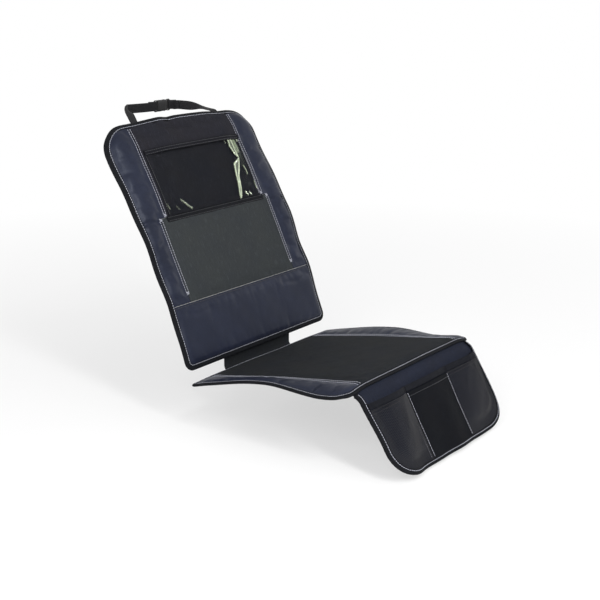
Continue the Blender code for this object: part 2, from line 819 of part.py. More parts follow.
def ribbon(name, stops, finish_material):
    """Webbing along (point, width direction) stops."""
    bm = bmesh.new()
    loops = []
    for i, (point, across) in enumerate(stops):
        last = stops[max(i - 1, 0)][0]
        after = stops[min(i + 1, len(stops) - 1)][0]
        tangent = (after - last).normalized()
        wide = (across - tangent * across.dot(tangent)).normalized()
        thick = tangent.cross(wide)
        legs = [leg.normalized() for leg in (point - last, after - point) if leg.length > 1e-9]
        stretch = 1 / max(legs[0].dot(tangent), 0.5)
        loop = []
        for a, b in ((-1, -1), (1, -1), (1, 1), (-1, 1)):
            offset = wide * (a * WEB_WIDTH / 2) + thick * (b * WEB_THICK / 2 * stretch)
            loop.append(bm.verts.new(point + offset))
        loops.append(loop)
    for one, two in zip(loops, loops[1:]):
        for j in range(4):
            k = (j + 1) % 4
            bm.faces.new([one[j], one[k], two[k], two[j]])
    bm.faces.new(loops[0])
    bm.faces.new(loops[-1])
    return finish(name, bm, finish_material)


def strap_stops(side, bar_x, back):
    """One side's webbing: sewn behind the top edge, twisted upright, round its headrest post to
    the buckle bar, and folded back on itself. side is -1 on the left and 1 on the right."""
    behind = UNDER_HIGH - WEB_THICK / 2
    across = Vector((side, 0, 0))
    up = Vector((0, 0, 1))
    sewn = []
    for s in (BACK_LENGTH - STRAP_SEWN_LENGTH, BACK_LENGTH - LIP, BACK_LENGTH):
        sewn.append((back.place(0, s, behind) + across * STRAP_SPREAD, across))
    post_x = side * POST_SPACING / 2
    wrap = STRAP_REAR - POST_RADIUS - WEB_THICK
    radius = STRAP_REAR - wrap
    start = sewn[-1][0]
    entry = Vector((post_x + side * radius, wrap, STRAP_HEIGHT))
    twist = []
    for share in (0.2, 0.4, 0.6, 0.8, 1.0):
        point = start.lerp(entry, share)
        point.z += 0.004 * math.sin(math.pi * share)
        point.x += side * 0.006 * math.sin(math.pi * share)
        lean = math.pi / 2 * smooth_step(share * 1.1)
        twist.append((point, across * math.cos(lean) + up * math.sin(lean)))
    round_post = []
    for degrees in (30, 60, 90):
        angle = math.radians(degrees)
        x = post_x + side * radius * math.cos(angle)
        y = wrap + radius * math.sin(angle)
        round_post.append((Vector((x, y, STRAP_HEIGHT)), up))

    # Round the bar, with the tail along the rear of the strap
    rear = STRAP_REAR + BAR_LOOP * 2
    bar = []
    for step in range(7):
        angle = math.pi * step / 6 - math.pi / 2
        x = bar_x - side * BAR_LOOP * math.cos(angle)
        y = STRAP_REAR + BAR_LOOP + BAR_LOOP * math.sin(angle)
        bar.append((Vector((x, y, STRAP_HEIGHT)), up))
    close = STRAP_REAR + WEB_THICK + SEAM_GAP
    tail_start = bar_x + side * 0.010
    tail = [
        (Vector((bar_x + side * 0.003, rear - 0.0004, STRAP_HEIGHT)), up),
        (Vector((tail_start, close + 0.0006, STRAP_HEIGHT)), up),
        (Vector((tail_start + side * 0.006, close, STRAP_HEIGHT)), up),
    ]
    return sewn + twist + round_post + bar + tail


def build_socket(looks):
    """Socket half of the buckle: a hollow shell with a side window for each prong, and the bar
    that the left strap is sewn round. Its mouth is at its origin and faces +X."""
    half_y, half_z = SOCKET_THICK / 2, SOCKET_WIDTH / 2
    socket = box("buckle_socket", (-SOCKET_LENGTH, -half_y, -half_z), (0, half_y, half_z))
    soften(socket, 0.0012)
    wall = SOCKET_WALL
    cavity = box(
        "socket_cavity",
        (wall - SOCKET_LENGTH, wall - half_y, wall * 1.4 - half_z),
        (0.01, half_y - wall, half_z - wall * 1.4),
    )
    combine(socket, cavity, "DIFFERENCE")
    far = -WINDOW_FROM_MOUTH - WINDOW_LENGTH
    windows = box(
        "socket_windows",
        (far, wall - half_y, -half_z - 0.01),
        (-WINDOW_FROM_MOUTH, half_y - wall, half_z + 0.01),
    )
    combine(socket, windows, "DIFFERENCE")
    frame_half = FRAME_THICK / 2
    end = -SOCKET_LENGTH - STRAP_SLOT - BAR
    frame = box(
        "socket_frame", (end, -frame_half, -half_z), (0.001 - SOCKET_LENGTH, frame_half, half_z)
    )
    combine(socket, frame, "UNION")
    slot_half = WEB_WIDTH / 2 + 0.0012
    slot = box(
        "socket_slot",
        (end + BAR, -0.01, -slot_half),
        (-SOCKET_LENGTH, 0.01, slot_half),
    )
    combine(socket, slot, "DIFFERENCE")
    return place_buckle_half(socket, looks)


def prong_outline(side):
    """A plug's prong with the barb that latches in the socket's window, on one side of the
    plug's middle line."""
    inner = BARB_REACH - PRONG_WIDTH - 0.0032
    outer = inner + PRONG_WIDTH
    barb_start = -WINDOW_FROM_MOUTH - 0.0006
    barb_end = barb_start - BARB_LENGTH
    points = [
        (0.0, inner),
        (0.001 - PRONG_LENGTH, inner),
        (-PRONG_LENGTH, inner + 0.001),
        (-PRONG_LENGTH, outer - 0.0006),
        (barb_end, BARB_REACH - 0.0022),
        (barb_start - 0.002, BARB_REACH),
        (barb_start, BARB_REACH - 0.0006),
        (barb_start, outer),
        (0.0, outer),
    ]
    return [(x, side * z) for x, z in points]


def build_prong(name, side, looks):
    """One springy prong, a flat outline in X and Z with an even thickness."""
    bm = bmesh.new()
    outline = prong_outline(side)
    bm.faces.new([bm.verts.new((x, -PRONG_THICK / 2, z)) for x, z in outline])
    for v in bmesh.ops.extrude_face_region(bm, geom=bm.faces[:])["geom"]:
        if isinstance(v, bmesh.types.BMVert):
            v.co.y = PRONG_THICK / 2
    prong = finish(name, bm, looks["plastic"])
    prong.location = (BUCKLE_X, STRAP_REAR + BAR_LOOP, STRAP_HEIGHT)


def build_plug(looks):
    """Plug half of the buckle: shoulder, middle tongue and the ladder that the right strap goes
    round. Its shoulder meets the socket's mouth."""
    half_y = PLUG_THICK / 2
    shoulder = box(
        "buckle_plug",
        (SEAM_GAP, -half_y, -PLUG_WIDTH / 2),
        (PLUG_BASE, half_y, PLUG_WIDTH / 2),
    )
    soften(shoulder, 0.0012)
    tongue_y, tongue_z = PRONG_THICK / 2, TONGUE_WIDTH / 2
    tongue = box(
        "plug_tongue", (-PRONG_LENGTH, -tongue_y, -tongue_z), (PLUG_BASE / 2, tongue_y, tongue_z)
    )
    combine(shoulder, tongue, "UNION")
    frame_half = FRAME_THICK / 2
    end = PLUG_BASE + STRAP_SLOT + BAR
    frame = box(
        "plug_frame",
        (PLUG_BASE - 0.001, -frame_half, -SOCKET_WIDTH / 2 + 0.0006),
        (end, frame_half, SOCKET_WIDTH / 2 - 0.0006),
    )
    combine(shoulder, frame, "UNION")
    slot_half = WEB_WIDTH / 2 + 0.0012
    slot = box("plug_slot", (PLUG_BASE, -0.01, -slot_half), (end - BAR, 0.01, slot_half))
    combine(shoulder, slot, "DIFFERENCE")
    build_prong("buckle_prong_upper", 1, looks)
    build_prong("buckle_prong_lower", -1, looks)
    return place_buckle_half(shoulder, looks)


def place_buckle_half(half, looks):
    """Puts a half of the buckle and its helpers behind the posts, its bar level with the strap
    loops."""
    half.location = (BUCKLE_X, STRAP_REAR + BAR_LOOP, STRAP_HEIGHT)
    for modifier in half.modifiers:
        if modifier.type == "BOOLEAN":
            modifier.object.location = half.location
    half.data.materials.append(looks["plastic"])
    PARTS.objects.link(half)
    return half


def build_strap(back, looks):
    """Head strap in two lengths, joined by the buckle behind the headrest posts."""
    socket_bar = BUCKLE_X - SOCKET_LENGTH - STRAP_SLOT - BAR / 2
    plug_bar = BUCKLE_X + PLUG_BASE + STRAP_SLOT + BAR / 2
    ribbon("strap_left", strap_stops(-1, socket_bar, back), looks["webbing"])
    ribbon("strap_right", strap_stops(1, plug_bar, back), looks["webbing"])
    build_socket(looks)
    build_plug(looks)


def build_looks():
    """Plain materials, one for each kind of cloth or plastic."""
    return {
        "leatherette": material("leatherette", (0.022, 0.024, 0.034), 0.45),
        "woven": material("woven_fabric", (0.020, 0.020, 0.021), 0.80),
        "lining": material("lining_cloth", (0.030, 0.030, 0.032), 0.90),
        "grip": material("grip_cloth", (0.015, 0.015, 0.016), 0.85),
        "foam": material("foam", (0.55, 0.55, 0.52), 0.95),
        "binding": material("binding_tape", (0.010, 0.011, 0.012), 0.70),
        "elastic": material("elastic_tape", (0.012, 0.012, 0.013), 0.75),
        "film": material("clear_film", (0.80, 0.82, 0.82), 0.08, 0.35),
        "net": material("net", (0.030, 0.030, 0.032), 0.80),
        "webbing": material("webbing", (0.009, 0.010, 0.010), 0.75),
        "plastic": material("buckle_plastic", (0.012, 0.012, 0.013), 0.35),
    }


def build_protector():
    looks = build_looks()
    back = back_drape()
    seat = seat_drape()
    build_back_layers(back, looks)
    build_back_covers(back, looks)
    build_tablet_pocket(back, looks)
    build_seat(seat, looks)
    build_flap(seat, looks)
    build_neck(back, seat, looks)
    build_strap(back, looks)


for old in list(bpy.data.objects):
    bpy.data.objects.remove(old)
PARTS = bpy.data.collections.new("car_seat_protector")
TOOLS = bpy.data.collections.new("cutters")
bpy.context.scene.collection.children.link(PARTS)
bpy.context.scene.collection.children.link(TOOLS)
build_protector()
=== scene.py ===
"""Dressed model of a car seat protector.

A padded back section hangs from the headrest posts by a webbing strap. A neck in the crease joins it
to a padded seat section, which ends in a front flap with three pockets. Every cloth piece is cut,
swollen and sewn flat, in (u, v, w): u runs across, v along the section and w away from the car seat.
Then it is laid on its section's contour. Lengths are in metres.
"""

import logging
import math
from collections.abc import Callable, Iterator, Sequence
from contextlib import contextmanager
from dataclasses import dataclass, field
from enum import Enum

import bmesh
import bpy
import numpy as np
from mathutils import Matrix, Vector
from mathutils.bvhtree import BVHTree


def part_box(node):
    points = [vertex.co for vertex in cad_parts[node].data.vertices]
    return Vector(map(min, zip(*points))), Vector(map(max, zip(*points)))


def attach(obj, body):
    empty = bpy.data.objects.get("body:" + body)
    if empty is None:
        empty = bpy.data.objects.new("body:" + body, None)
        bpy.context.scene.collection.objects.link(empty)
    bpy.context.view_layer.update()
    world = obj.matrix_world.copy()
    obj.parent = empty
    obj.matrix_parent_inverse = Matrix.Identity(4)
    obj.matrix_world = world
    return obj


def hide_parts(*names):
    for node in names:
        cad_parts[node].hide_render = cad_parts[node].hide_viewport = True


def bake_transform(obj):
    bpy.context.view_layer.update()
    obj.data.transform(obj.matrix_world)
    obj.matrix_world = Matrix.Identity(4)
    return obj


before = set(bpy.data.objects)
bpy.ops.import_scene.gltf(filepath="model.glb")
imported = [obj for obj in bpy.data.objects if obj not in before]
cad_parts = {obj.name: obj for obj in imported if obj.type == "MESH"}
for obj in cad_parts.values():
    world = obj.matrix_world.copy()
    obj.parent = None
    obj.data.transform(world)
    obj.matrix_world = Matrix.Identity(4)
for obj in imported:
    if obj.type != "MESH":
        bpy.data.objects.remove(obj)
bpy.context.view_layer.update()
LOG = logging.getLogger("car_seat_protector")

Spot = tuple[float, float]
Corner = tuple[float, float, float]
Crease = tuple[np.ndarray, float, float]
Field = Callable[[np.ndarray, np.ndarray], np.ndarray]

PATH_STEP = 0.004  # between the points of a laid edge
FINE_STEP = 0.0008  # between the points of a profile
ARC_STEPS = 16  # in a rounded corner
CLOTH_FRAMES = 20  # that the padding takes to swell
SEWN_RIM = 0.0006  # how near to its rim a pad is sewn down
SEAM_DEPTH = 0.8  # the share of a pad's height that a seam through it takes
SEAM_WIDTH = 0.0028  # how far the dent of such a seam reaches
PUCKER_WAVE = 0.017  # the length of the puckers beside a seam
PUCKER_REACH = 0.014  # how far from the seam they fade
STITCH_END = 0.0115  # how far from an edge a line of stitches stops
SEAM_GAP = 0.0045  # from a seam to where the padding beside it is sewn down


class Body(Enum):
    """Bodies that pieces ride on."""

    MAT = "mat"
    PLUG = "buckle_plug"


class Hold(Enum):
    """How a sheet of cloth is held."""

    STRETCHED = "stretched"
    FOLDED = "folded"
    HUNG = "hung"
    LAID = "laid"
    GATHERED = "gathered"


# Steps that every piece shares


def smooth(value: np.ndarray) -> np.ndarray:
    """Rises from 0 to 1 as the value does, level at both ends."""
    t = np.clip(value, 0.0, 1.0)
    return t * t * (3 - 2 * t)


def bump(value: np.ndarray) -> np.ndarray:
    """A bell that is 1 at 0 and fades within about 2."""
    return np.exp(-np.square(value))


def ruffle(u: np.ndarray, v: np.ndarray, size: float, seed: float) -> np.ndarray:
    """Uneven waves between about -1 and 1.

    Args:
        u: Places across.
        v: Places along.
        size: Length of the longest wave.
        seed: Shifts the pattern, so that pieces differ.

    Returns:
        One height for each place.
    """
    total = np.zeros_like(u)
    waves = ((1.0, 0.6, 0.9), (-0.7, 1.3, 2.1), (1.9, 1.1, 4.0), (-2.3, 2.0, 5.2))
    for k, (a, b, c) in enumerate(waves):
        total += np.sin(2 * math.pi * (a * u + b * v) / size + c + seed * (k + 1)) / (k + 1.4)
    return total / 2.0


def deselect() -> None:
    """Leaves edit mode and clears the selection."""
    if bpy.context.object and bpy.context.object.mode != "OBJECT":
        bpy.ops.object.mode_set(mode="OBJECT")
    bpy.ops.object.select_all(action="DESELECT")


def pick(piece: bpy.types.Object) -> None:
    """Selects one piece and makes it active."""
    deselect()
    piece.select_set(True)
    bpy.context.view_layer.objects.active = piece


@contextmanager
def editing(piece: bpy.types.Object) -> Iterator[bmesh.types.BMesh]:
    """Edits a piece's mesh with all of it selected.

    Args:
        piece: The piece to edit.

    Yields:
        Its edit mesh.
    """
    pick(piece)
    bpy.ops.object.mode_set(mode="EDIT")
    bpy.ops.mesh.select_mode(type="VERT")
    bpy.ops.mesh.select_all(action="SELECT")
    yield bmesh.from_edit_mesh(piece.data)
    bpy.ops.object.mode_set(mode="OBJECT")


def finish_with(piece: bpy.types.Object, kind: str, **settings: object) -> None:
    """Adds a modifier and applies it.

    Args:
        piece: The piece.
        kind: The modifier's type.
        **settings: Its settings.
    """
    pick(piece)
    modifier = piece.modifiers.new(kind.lower(), kind)
    for key, value in settings.items():
        setattr(modifier, key, value)
    bpy.ops.object.modifier_apply(modifier=modifier.name)


def points_of(piece: bpy.types.Object) -> np.ndarray:
    """The piece's points, one row each."""
    flat = np.empty(len(piece.data.vertices) * 3)
    piece.data.vertices.foreach_get("co", flat)
    return flat.reshape(-1, 3)


def put_points(piece: bpy.types.Object, points: np.ndarray) -> None:
    """Moves the piece's points to new places."""
    piece.data.vertices.foreach_set("co", np.ascontiguousarray(points, dtype=np.float64).ravel())
    piece.data.update()


def name_piece(piece: bpy.types.Object, name: str) -> None:
    """Names a piece and its mesh."""
    piece.name = name
    piece.data.name = name


def shade(piece: bpy.types.Object, degrees: float = 50.0) -> None:
    """Smooths the shading up to an angle."""
    pick(piece)
    bpy.ops.object.shade_smooth_by_angle(angle=math.radians(degrees))


def write_map(mesh: bpy.types.Mesh, spots: np.ndarray) -> None:
    """Writes the flat place of each point as a UV map in metres."""
    layer = mesh.uv_layers.new(name="flat")
    corners = np.empty(len(mesh.loops), dtype=np.int32)
    mesh.loops.foreach_get("vertex_index", corners)
    layer.data.foreach_set("uv", spots[corners].astype(np.float32).ravel())


def flat_map(piece: bpy.types.Object) -> None:
    """Gives a piece that still lies flat its map."""
    mesh = piece.data
    while mesh.uv_layers:
        mesh.uv_layers.remove(mesh.uv_layers[0])
    write_map(mesh, points_of(piece)[:, :2])


def run_along(points: np.ndarray) -> np.ndarray:
    """How far along a line each of its points lies."""
    steps = np.linalg.norm(np.diff(points, axis=0), axis=1)
    return np.concatenate([[0.0], np.cumsum(steps)])


def rim_segments(piece: bpy.types.Object) -> np.ndarray:
    """The open edges of a flat piece, as pairs of points."""
    counts = {}
    for polygon in piece.data.polygons:
        for key in polygon.edge_keys:
            counts[key] = counts.get(key, 0) + 1
    points = points_of(piece)[:, :2]
    return np.array([[points[a], points[b]] for (a, b), count in counts.items() if count == 1])


def distance(u: np.ndarray, v: np.ndarray, segments: np.ndarray) -> np.ndarray:
    """How far flat places are from the nearest of some segments.

    Args:
        u: Places across.
        v: Places along.
        segments: Pairs of flat points.

    Returns:
        One distance for each place.
    """
    best = np.full(len(u), 1.0)
    spots = np.stack([u, v], axis=1)
    for a, b in segments:
        along = b - a
        length = max(float(along @ along), 1e-12)
        share = np.clip((spots - a) @ along / length, 0.0, 1.0)
        gap = spots - a - share[:, None] * along
        best = np.minimum(best, np.hypot(gap[:, 0], gap[:, 1]))
    return best


def chain(points: np.ndarray) -> np.ndarray:
    """A line's segments, as pairs of points."""
    return np.stack([points[:-1], points[1:]], axis=1)


def anticlockwise(corners: Sequence[Corner]) -> list[Corner]:
    """Corners in the order that makes a face look up."""
    area = sum(a[0] * b[1] - b[0] * a[1] for a, b in zip(corners, [*corners[1:], corners[0]]))
    return list(corners) if area > 0 else list(reversed(corners))


def cut_out(name: str, corners: Sequence[Corner], pitch: float) -> bpy.types.Object:
    """Cuts a flat pattern and creases it into cells.

    Args:
        name: The piece's name.
        corners: Its corners, each (u, v, radius).
        pitch: The size of a cell.

    Returns:
        The flat piece.
    """
    corners = anticlockwise(corners)
    deselect()
    bpy.ops.mesh.primitive_circle_add(vertices=len(corners), radius=0.1, fill_type="NGON")
    piece = bpy.context.object
    name_piece(piece, name)
    put_points(piece, np.array([(u, v, 0.0) for u, v, _ in corners]))
    if piece.data.polygons[0].normal.z < 0:
        piece.data.flip_normals()
    lows = np.min([c[:2] for c in corners], axis=0)
    highs = np.max([c[:2] for c in corners], axis=0)
    with editing(piece) as shape:
        for u, v, radius in corners:
            if radius <= 0:
                continue
            bpy.ops.mesh.select_all(action="DESELECT")
            near = min(shape.verts, key=lambda p: (p.co - Vector((u, v, 0.0))).length)
            near.select = True
            steps = max(4, round(radius / PATH_STEP))
            bpy.ops.mesh.bevel(offset=radius, segments=steps, affect="VERTICES")
        for axis in (0, 1):
            cells = max(1, round((highs[axis] - lows[axis]) / pitch))
            for k in range(1, cells):
                spot, normal = [0.0, 0.0, 0.0], [0.0, 0.0, 0.0]
                spot[axis] = lows[axis] + (highs[axis] - lows[axis]) * k / cells
                normal[axis] = 1.0
                bpy.ops.mesh.select_all(action="SELECT")
                bpy.ops.mesh.bisect(plane_co=spot, plane_no=normal)
        bpy.ops.mesh.select_all(action="SELECT")
        bpy.ops.mesh.remove_doubles(threshold=pitch * 0.1)
    return piece


def weave_grid(name: str, rows: np.ndarray, loop: bool, tube: bool) -> bpy.types.Object:
    """Sweeps a section along a path, as a grid whose rows are the sections.

    Args:
        name: The piece's name.
        rows: Points, shaped (sections, points of a section, 3).
        loop: Whether the path closes on itself.
        tube: Whether each section closes on itself.

    Returns:
        The piece, with its length and girth as a UV map.
    """
    if loop:
        rows = np.concatenate([rows, rows[:1]])
    if tube:
        rows = np.concatenate([rows, rows[:, :1]], axis=1)
    count, girth = rows.shape[:2]
    deselect()
    bpy.ops.mesh.primitive_grid_add(x_subdivisions=girth - 1, y_subdivisions=count - 1, size=1.0)
    piece = bpy.context.object
    name_piece(piece, name)
    layer = piece.data.uv_layers[0]
    layer.name = "flat"
    around, along = run_along(rows[0]), run_along(rows.mean(axis=1))
    values = np.empty(len(layer.data) * 2, dtype=np.float32)
    layer.data.foreach_get("uv", values)
    values = values.reshape(-1, 2)
    values[:, 0] = around[np.rint(values[:, 0] * (girth - 1)).astype(int)]
    values[:, 1] = along[np.rint(values[:, 1] * (count - 1)).astype(int)]
    layer.data.foreach_set("uv", values.ravel())
    put_points(piece, rows.reshape(-1, 3))
    with editing(piece):
        bpy.ops.mesh.remove_doubles(threshold=1e-6)
        if tube and not loop:
            bpy.ops.mesh.fill_holes(sides=0)
        bpy.ops.mesh.select_all(action="SELECT")
        bpy.ops.mesh.normals_make_consistent(inside=False)
    return piece


def rounded_path(corners: Sequence[Corner], closed: bool, step: float = PATH_STEP) -> np.ndarray:
    """A path through rounded corners, in even steps.

    Args:
        corners: Corners, each (u, v, radius).
        closed: Whether the path returns to its start.
        step: The length of a step.

    Returns:
        Flat points, one row each.
    """
    points = []
    count = len(corners)
    for i, (u, v, radius) in enumerate(corners):
        here = np.array((u, v))
        if radius <= 0 or (not closed and i in (0, count - 1)):
            points.append(here)
            continue
        last = np.array(corners[i - 1][:2]) - here
        after = np.array(corners[(i + 1) % count][:2]) - here
        last, after = last / np.linalg.norm(last), after / np.linalg.norm(after)
        half = math.acos(float(np.clip(last @ after, -1, 1))) / 2
        middle = (last + after) / np.linalg.norm(last + after)
        centre = here + middle * radius / math.sin(half)
        first = here + last * radius / math.tan(half) - centre
        final = here + after * radius / math.tan(half) - centre
        sweep = math.atan2(first[0] * final[1] - first[1] * final[0], float(first @ final))
        for j in range(ARC_STEPS + 1):
            turn = sweep * j / ARC_STEPS
            cos, sin = math.cos(turn), math.sin(turn)
            turned = (first[0] * cos - first[1] * sin, first[0] * sin + first[1] * cos)
            points.append(centre + np.array(turned))
    if closed:
        points.append(points[0])
    return resample(np.array(points), step, closed)


def resample(points: np.ndarray, step: float, closed: bool = False) -> np.ndarray:
    """The same line in even steps.

    Args:
        points: Points, one row each.
        step: The length of a step.
        closed: Whether the last point repeats the first and is left off.

    Returns:
        Points, one row each.
    """
    run = run_along(points)
    count = max(2, round(run[-1] / step))
    stops = np.linspace(0.0, run[-1], count + 1)
    even = np.stack([np.interp(stops, run, points[:, k]) for k in range(points.shape[1])], axis=1)
    return even[:-1] if closed else even


def left_normals(points: np.ndarray, closed: bool) -> np.ndarray:
    """Directions to the left of a flat line, one for each point."""
    if closed:
        ahead = np.roll(points, -1, axis=0) - np.roll(points, 1, axis=0)
    else:
        ahead = np.gradient(points, axis=0)
    ahead /= np.linalg.norm(ahead, axis=1)[:, None]
    return np.stack([-ahead[:, 1], ahead[:, 0]], axis=1)


def rim_gap(
    u: np.ndarray, v: np.ndarray, half: float, length: float, radii: tuple[float, float]
) -> np.ndarray:
    """How far places lie inside a rounded rectangle's outline.

    Args:
        u: Places across.
        v: Places along.
        half: Half of its width.
        length: Its length.
        radii: The corners' radii at its start and its end.

    Returns:
        One distance for each place.
    """
    radius = np.where(v > length / 2, radii[1], radii[0])
    across = np.abs(u) - half + radius
    along = np.abs(v - length / 2) - length / 2 + radius
    outside = np.hypot(np.maximum(across, 0.0), np.maximum(along, 0.0))
    return radius - outside - np.minimum(np.maximum(across, along), 0.0)


# Contours of the car seat


@dataclass
class Contour:
    """A side profile that flat pieces are laid on.

    Attributes:
        start: Its first point, in Y and Z.
        heading: Its first direction in degrees, where 0 points to +Y and 90 up.
        legs: Each leg's length and turn in degrees.
        side: 1 where w points to the left of the heading and -1 to the right.
        drop: How far the crown lies below the profile.
        sway: How far the cloth's own waves lift it.
        pinch: The share of the layers' thickness that is left at a place.
        lead: The straight length before its start and after its end.
        run: How far along it each of its fine points lies.
        turn: Its direction at each fine point.
        spots: The fine points, in Y and Z.
    """

    start: tuple[float, float]
    heading: float
    legs: Sequence[tuple[float, float]]
    side: int
    drop: Field = lambda u, v: np.zeros_like(u)
    sway: Field = lambda u, v: np.zeros_like(u)
    pinch: Field = lambda u, v: np.ones_like(u)
    lead: float = 0.05
    run: np.ndarray = field(init=False)
    turn: np.ndarray = field(init=False)
    spots: np.ndarray = field(init=False)

    def __post_init__(self) -> None:
        """Walks the legs in fine steps, with a straight lead at both ends."""
        runs, turns = [-self.lead], [math.radians(self.heading)]
        heading = self.heading
        for length, turn in [(self.lead, 0.0), *self.legs, (self.lead, 0.0)]:
            steps = max(2, math.ceil(length / FINE_STEP))
            for _ in range(steps):
                heading += turn / steps
                runs.append(runs[-1] + length / steps)
                turns.append(math.radians(heading))
        self.run, self.turn = np.array(runs), np.array(turns)
        middle = (self.turn[1:] + self.turn[:-1]) / 2
        hops = np.stack([np.cos(middle), np.sin(middle)], axis=1) * np.diff(self.run)[:, None]
        spots = np.concatenate([[[0.0, 0.0]], np.cumsum(hops, axis=0)])
        zero = np.array([np.interp(0.0, self.run, spots[:, k]) for k in (0, 1)])
        self.spots = spots - zero + np.array(self.start)

    def place(self, flat: np.ndarray) -> np.ndarray:
        """The points in space of flat points.

        Args:
            flat: Points (u, v, w), one row each.

        Returns:
            Points (x, y, z), one row each.
        """
        u, v, w = flat.T
        turn = np.interp(v, self.run, self.turn)
        w = LAYERS.middle + (w - LAYERS.middle) * self.pinch(u, v)
        lift = (w + self.sway(u, v) - self.drop(u, v)) * self.side
        y = np.interp(v, self.run, self.spots[:, 0]) - np.sin(turn) * lift
        z = np.interp(v, self.run, self.spots[:, 1]) + np.cos(turn) * lift
        return np.stack([u, y, z], axis=1)

    def lay(self, piece: bpy.types.Object) -> None:
        """Lays a flat piece on the contour."""
        put_points(piece, self.place(points_of(piece)))
        if self.side < 0:
            piece.data.flip_normals()
        shade(piece)


@dataclass
class Ground:
    """The flat tops of a section's pieces, which the stitches lie on."""

    points: list[Vector] = field(default_factory=list)
    faces: list[tuple[int, ...]] = field(default_factory=list)

    def add(self, piece: bpy.types.Object) -> None:
        """Adds a flat piece."""
        base = len(self.points)
        self.points.extend(v.co.copy() for v in piece.data.vertices)
        self.faces.extend(tuple(base + i for i in p.vertices) for p in piece.data.polygons)

    def heights(self, flat: np.ndarray, missing: float = 0.0) -> np.ndarray:
        """The top height at flat places.

        Args:
            flat: Places (u, v), one row each.
            missing: The height where there is no piece.

        Returns:
            One height for each place.
        """
        tree = BVHTree.FromPolygons(self.points, self.faces)
        found = []
        for u, v in flat:
            hit = tree.ray_cast(Vector((u, v, 0.2)), Vector((0.0, 0.0, -1.0)))[0]
            found.append(missing if hit is None else hit.z)
        return np.array(found)


@dataclass(frozen=True)
class Layers:
    """Thicknesses of the cloth layers, from the car seat outwards."""

    lining: float = 0.0008
    foam: float = 0.0040
    cover: float = 0.0010
    gap: float = 0.0004
    tape: float = 0.0010
    lip: float = 0.0105
    inset: float = 0.0014

    @property
    def foam_low(self) -> float:
        """Where the foam starts."""
        return self.lining + self.gap

    @property
    def cover_low(self) -> float:
        """Where the cover starts."""
        return self.foam_low + self.foam + self.gap

    @property
    def cover_high(self) -> float:
        """Where the cover ends at its seams."""
        return self.cover_low + self.cover

    @property
    def middle(self) -> float:
        """The middle of all the layers."""
        return self.cover_high / 2

    @property
    def under_high(self) -> float:
        """The highest place behind the lining and its tape."""
        return -self.gap - self.tape - self.gap


LAYERS = Layers()


# Finishes


class Value:
    """A node's number, which adds its Math nodes as it is reckoned with."""

    def __init__(self, graph: "Graph", socket: bpy.types.NodeSocket) -> None:
        """Wraps a socket of a graph."""
        self.graph = graph
        self.socket = socket

    def __add__(self, other: "Value | float") -> "Value":
        """Sum."""
        return self.graph.reckon("ADD", self, other)

    def __sub__(self, other: "Value | float") -> "Value":
        """Difference."""
        return self.graph.reckon("SUBTRACT", self, other)

    def __mul__(self, other: "Value | float") -> "Value":
        """Product."""
        return self.graph.reckon("MULTIPLY", self, other)

    def __rsub__(self, other: float) -> "Value":
        """Difference from a number."""
        return self.graph.reckon("SUBTRACT", other, self)

    def __abs__(self) -> "Value":
        """Size without its sign."""
        return self.graph.reckon("ABSOLUTE", self)

    __radd__ = __add__
    __rmul__ = __mul__

    def sine(self, period: float, shift: "Value | float" = 0.0) -> "Value":
        """A wave of this value between 0 and 1.

        Args:
            period: How much of the value makes one wave.
            shift: Added to the wave's angle.

        Returns:
            The wave.
        """
        angle = self * (2 * math.pi / period) + shift
        return self.graph.reckon("SINE", angle) * 0.5 + 0.5

    def between(self, low: float, high: float) -> "Value":
        """This value's share of the way from low to high, kept from 0 to 1."""
        node = self.graph.node(
            "ShaderNodeMapRange", {"clamp": True}, {"Value": self, "From Min": low, "From Max": high}
        )
        return Value(self.graph, node.outputs[0])


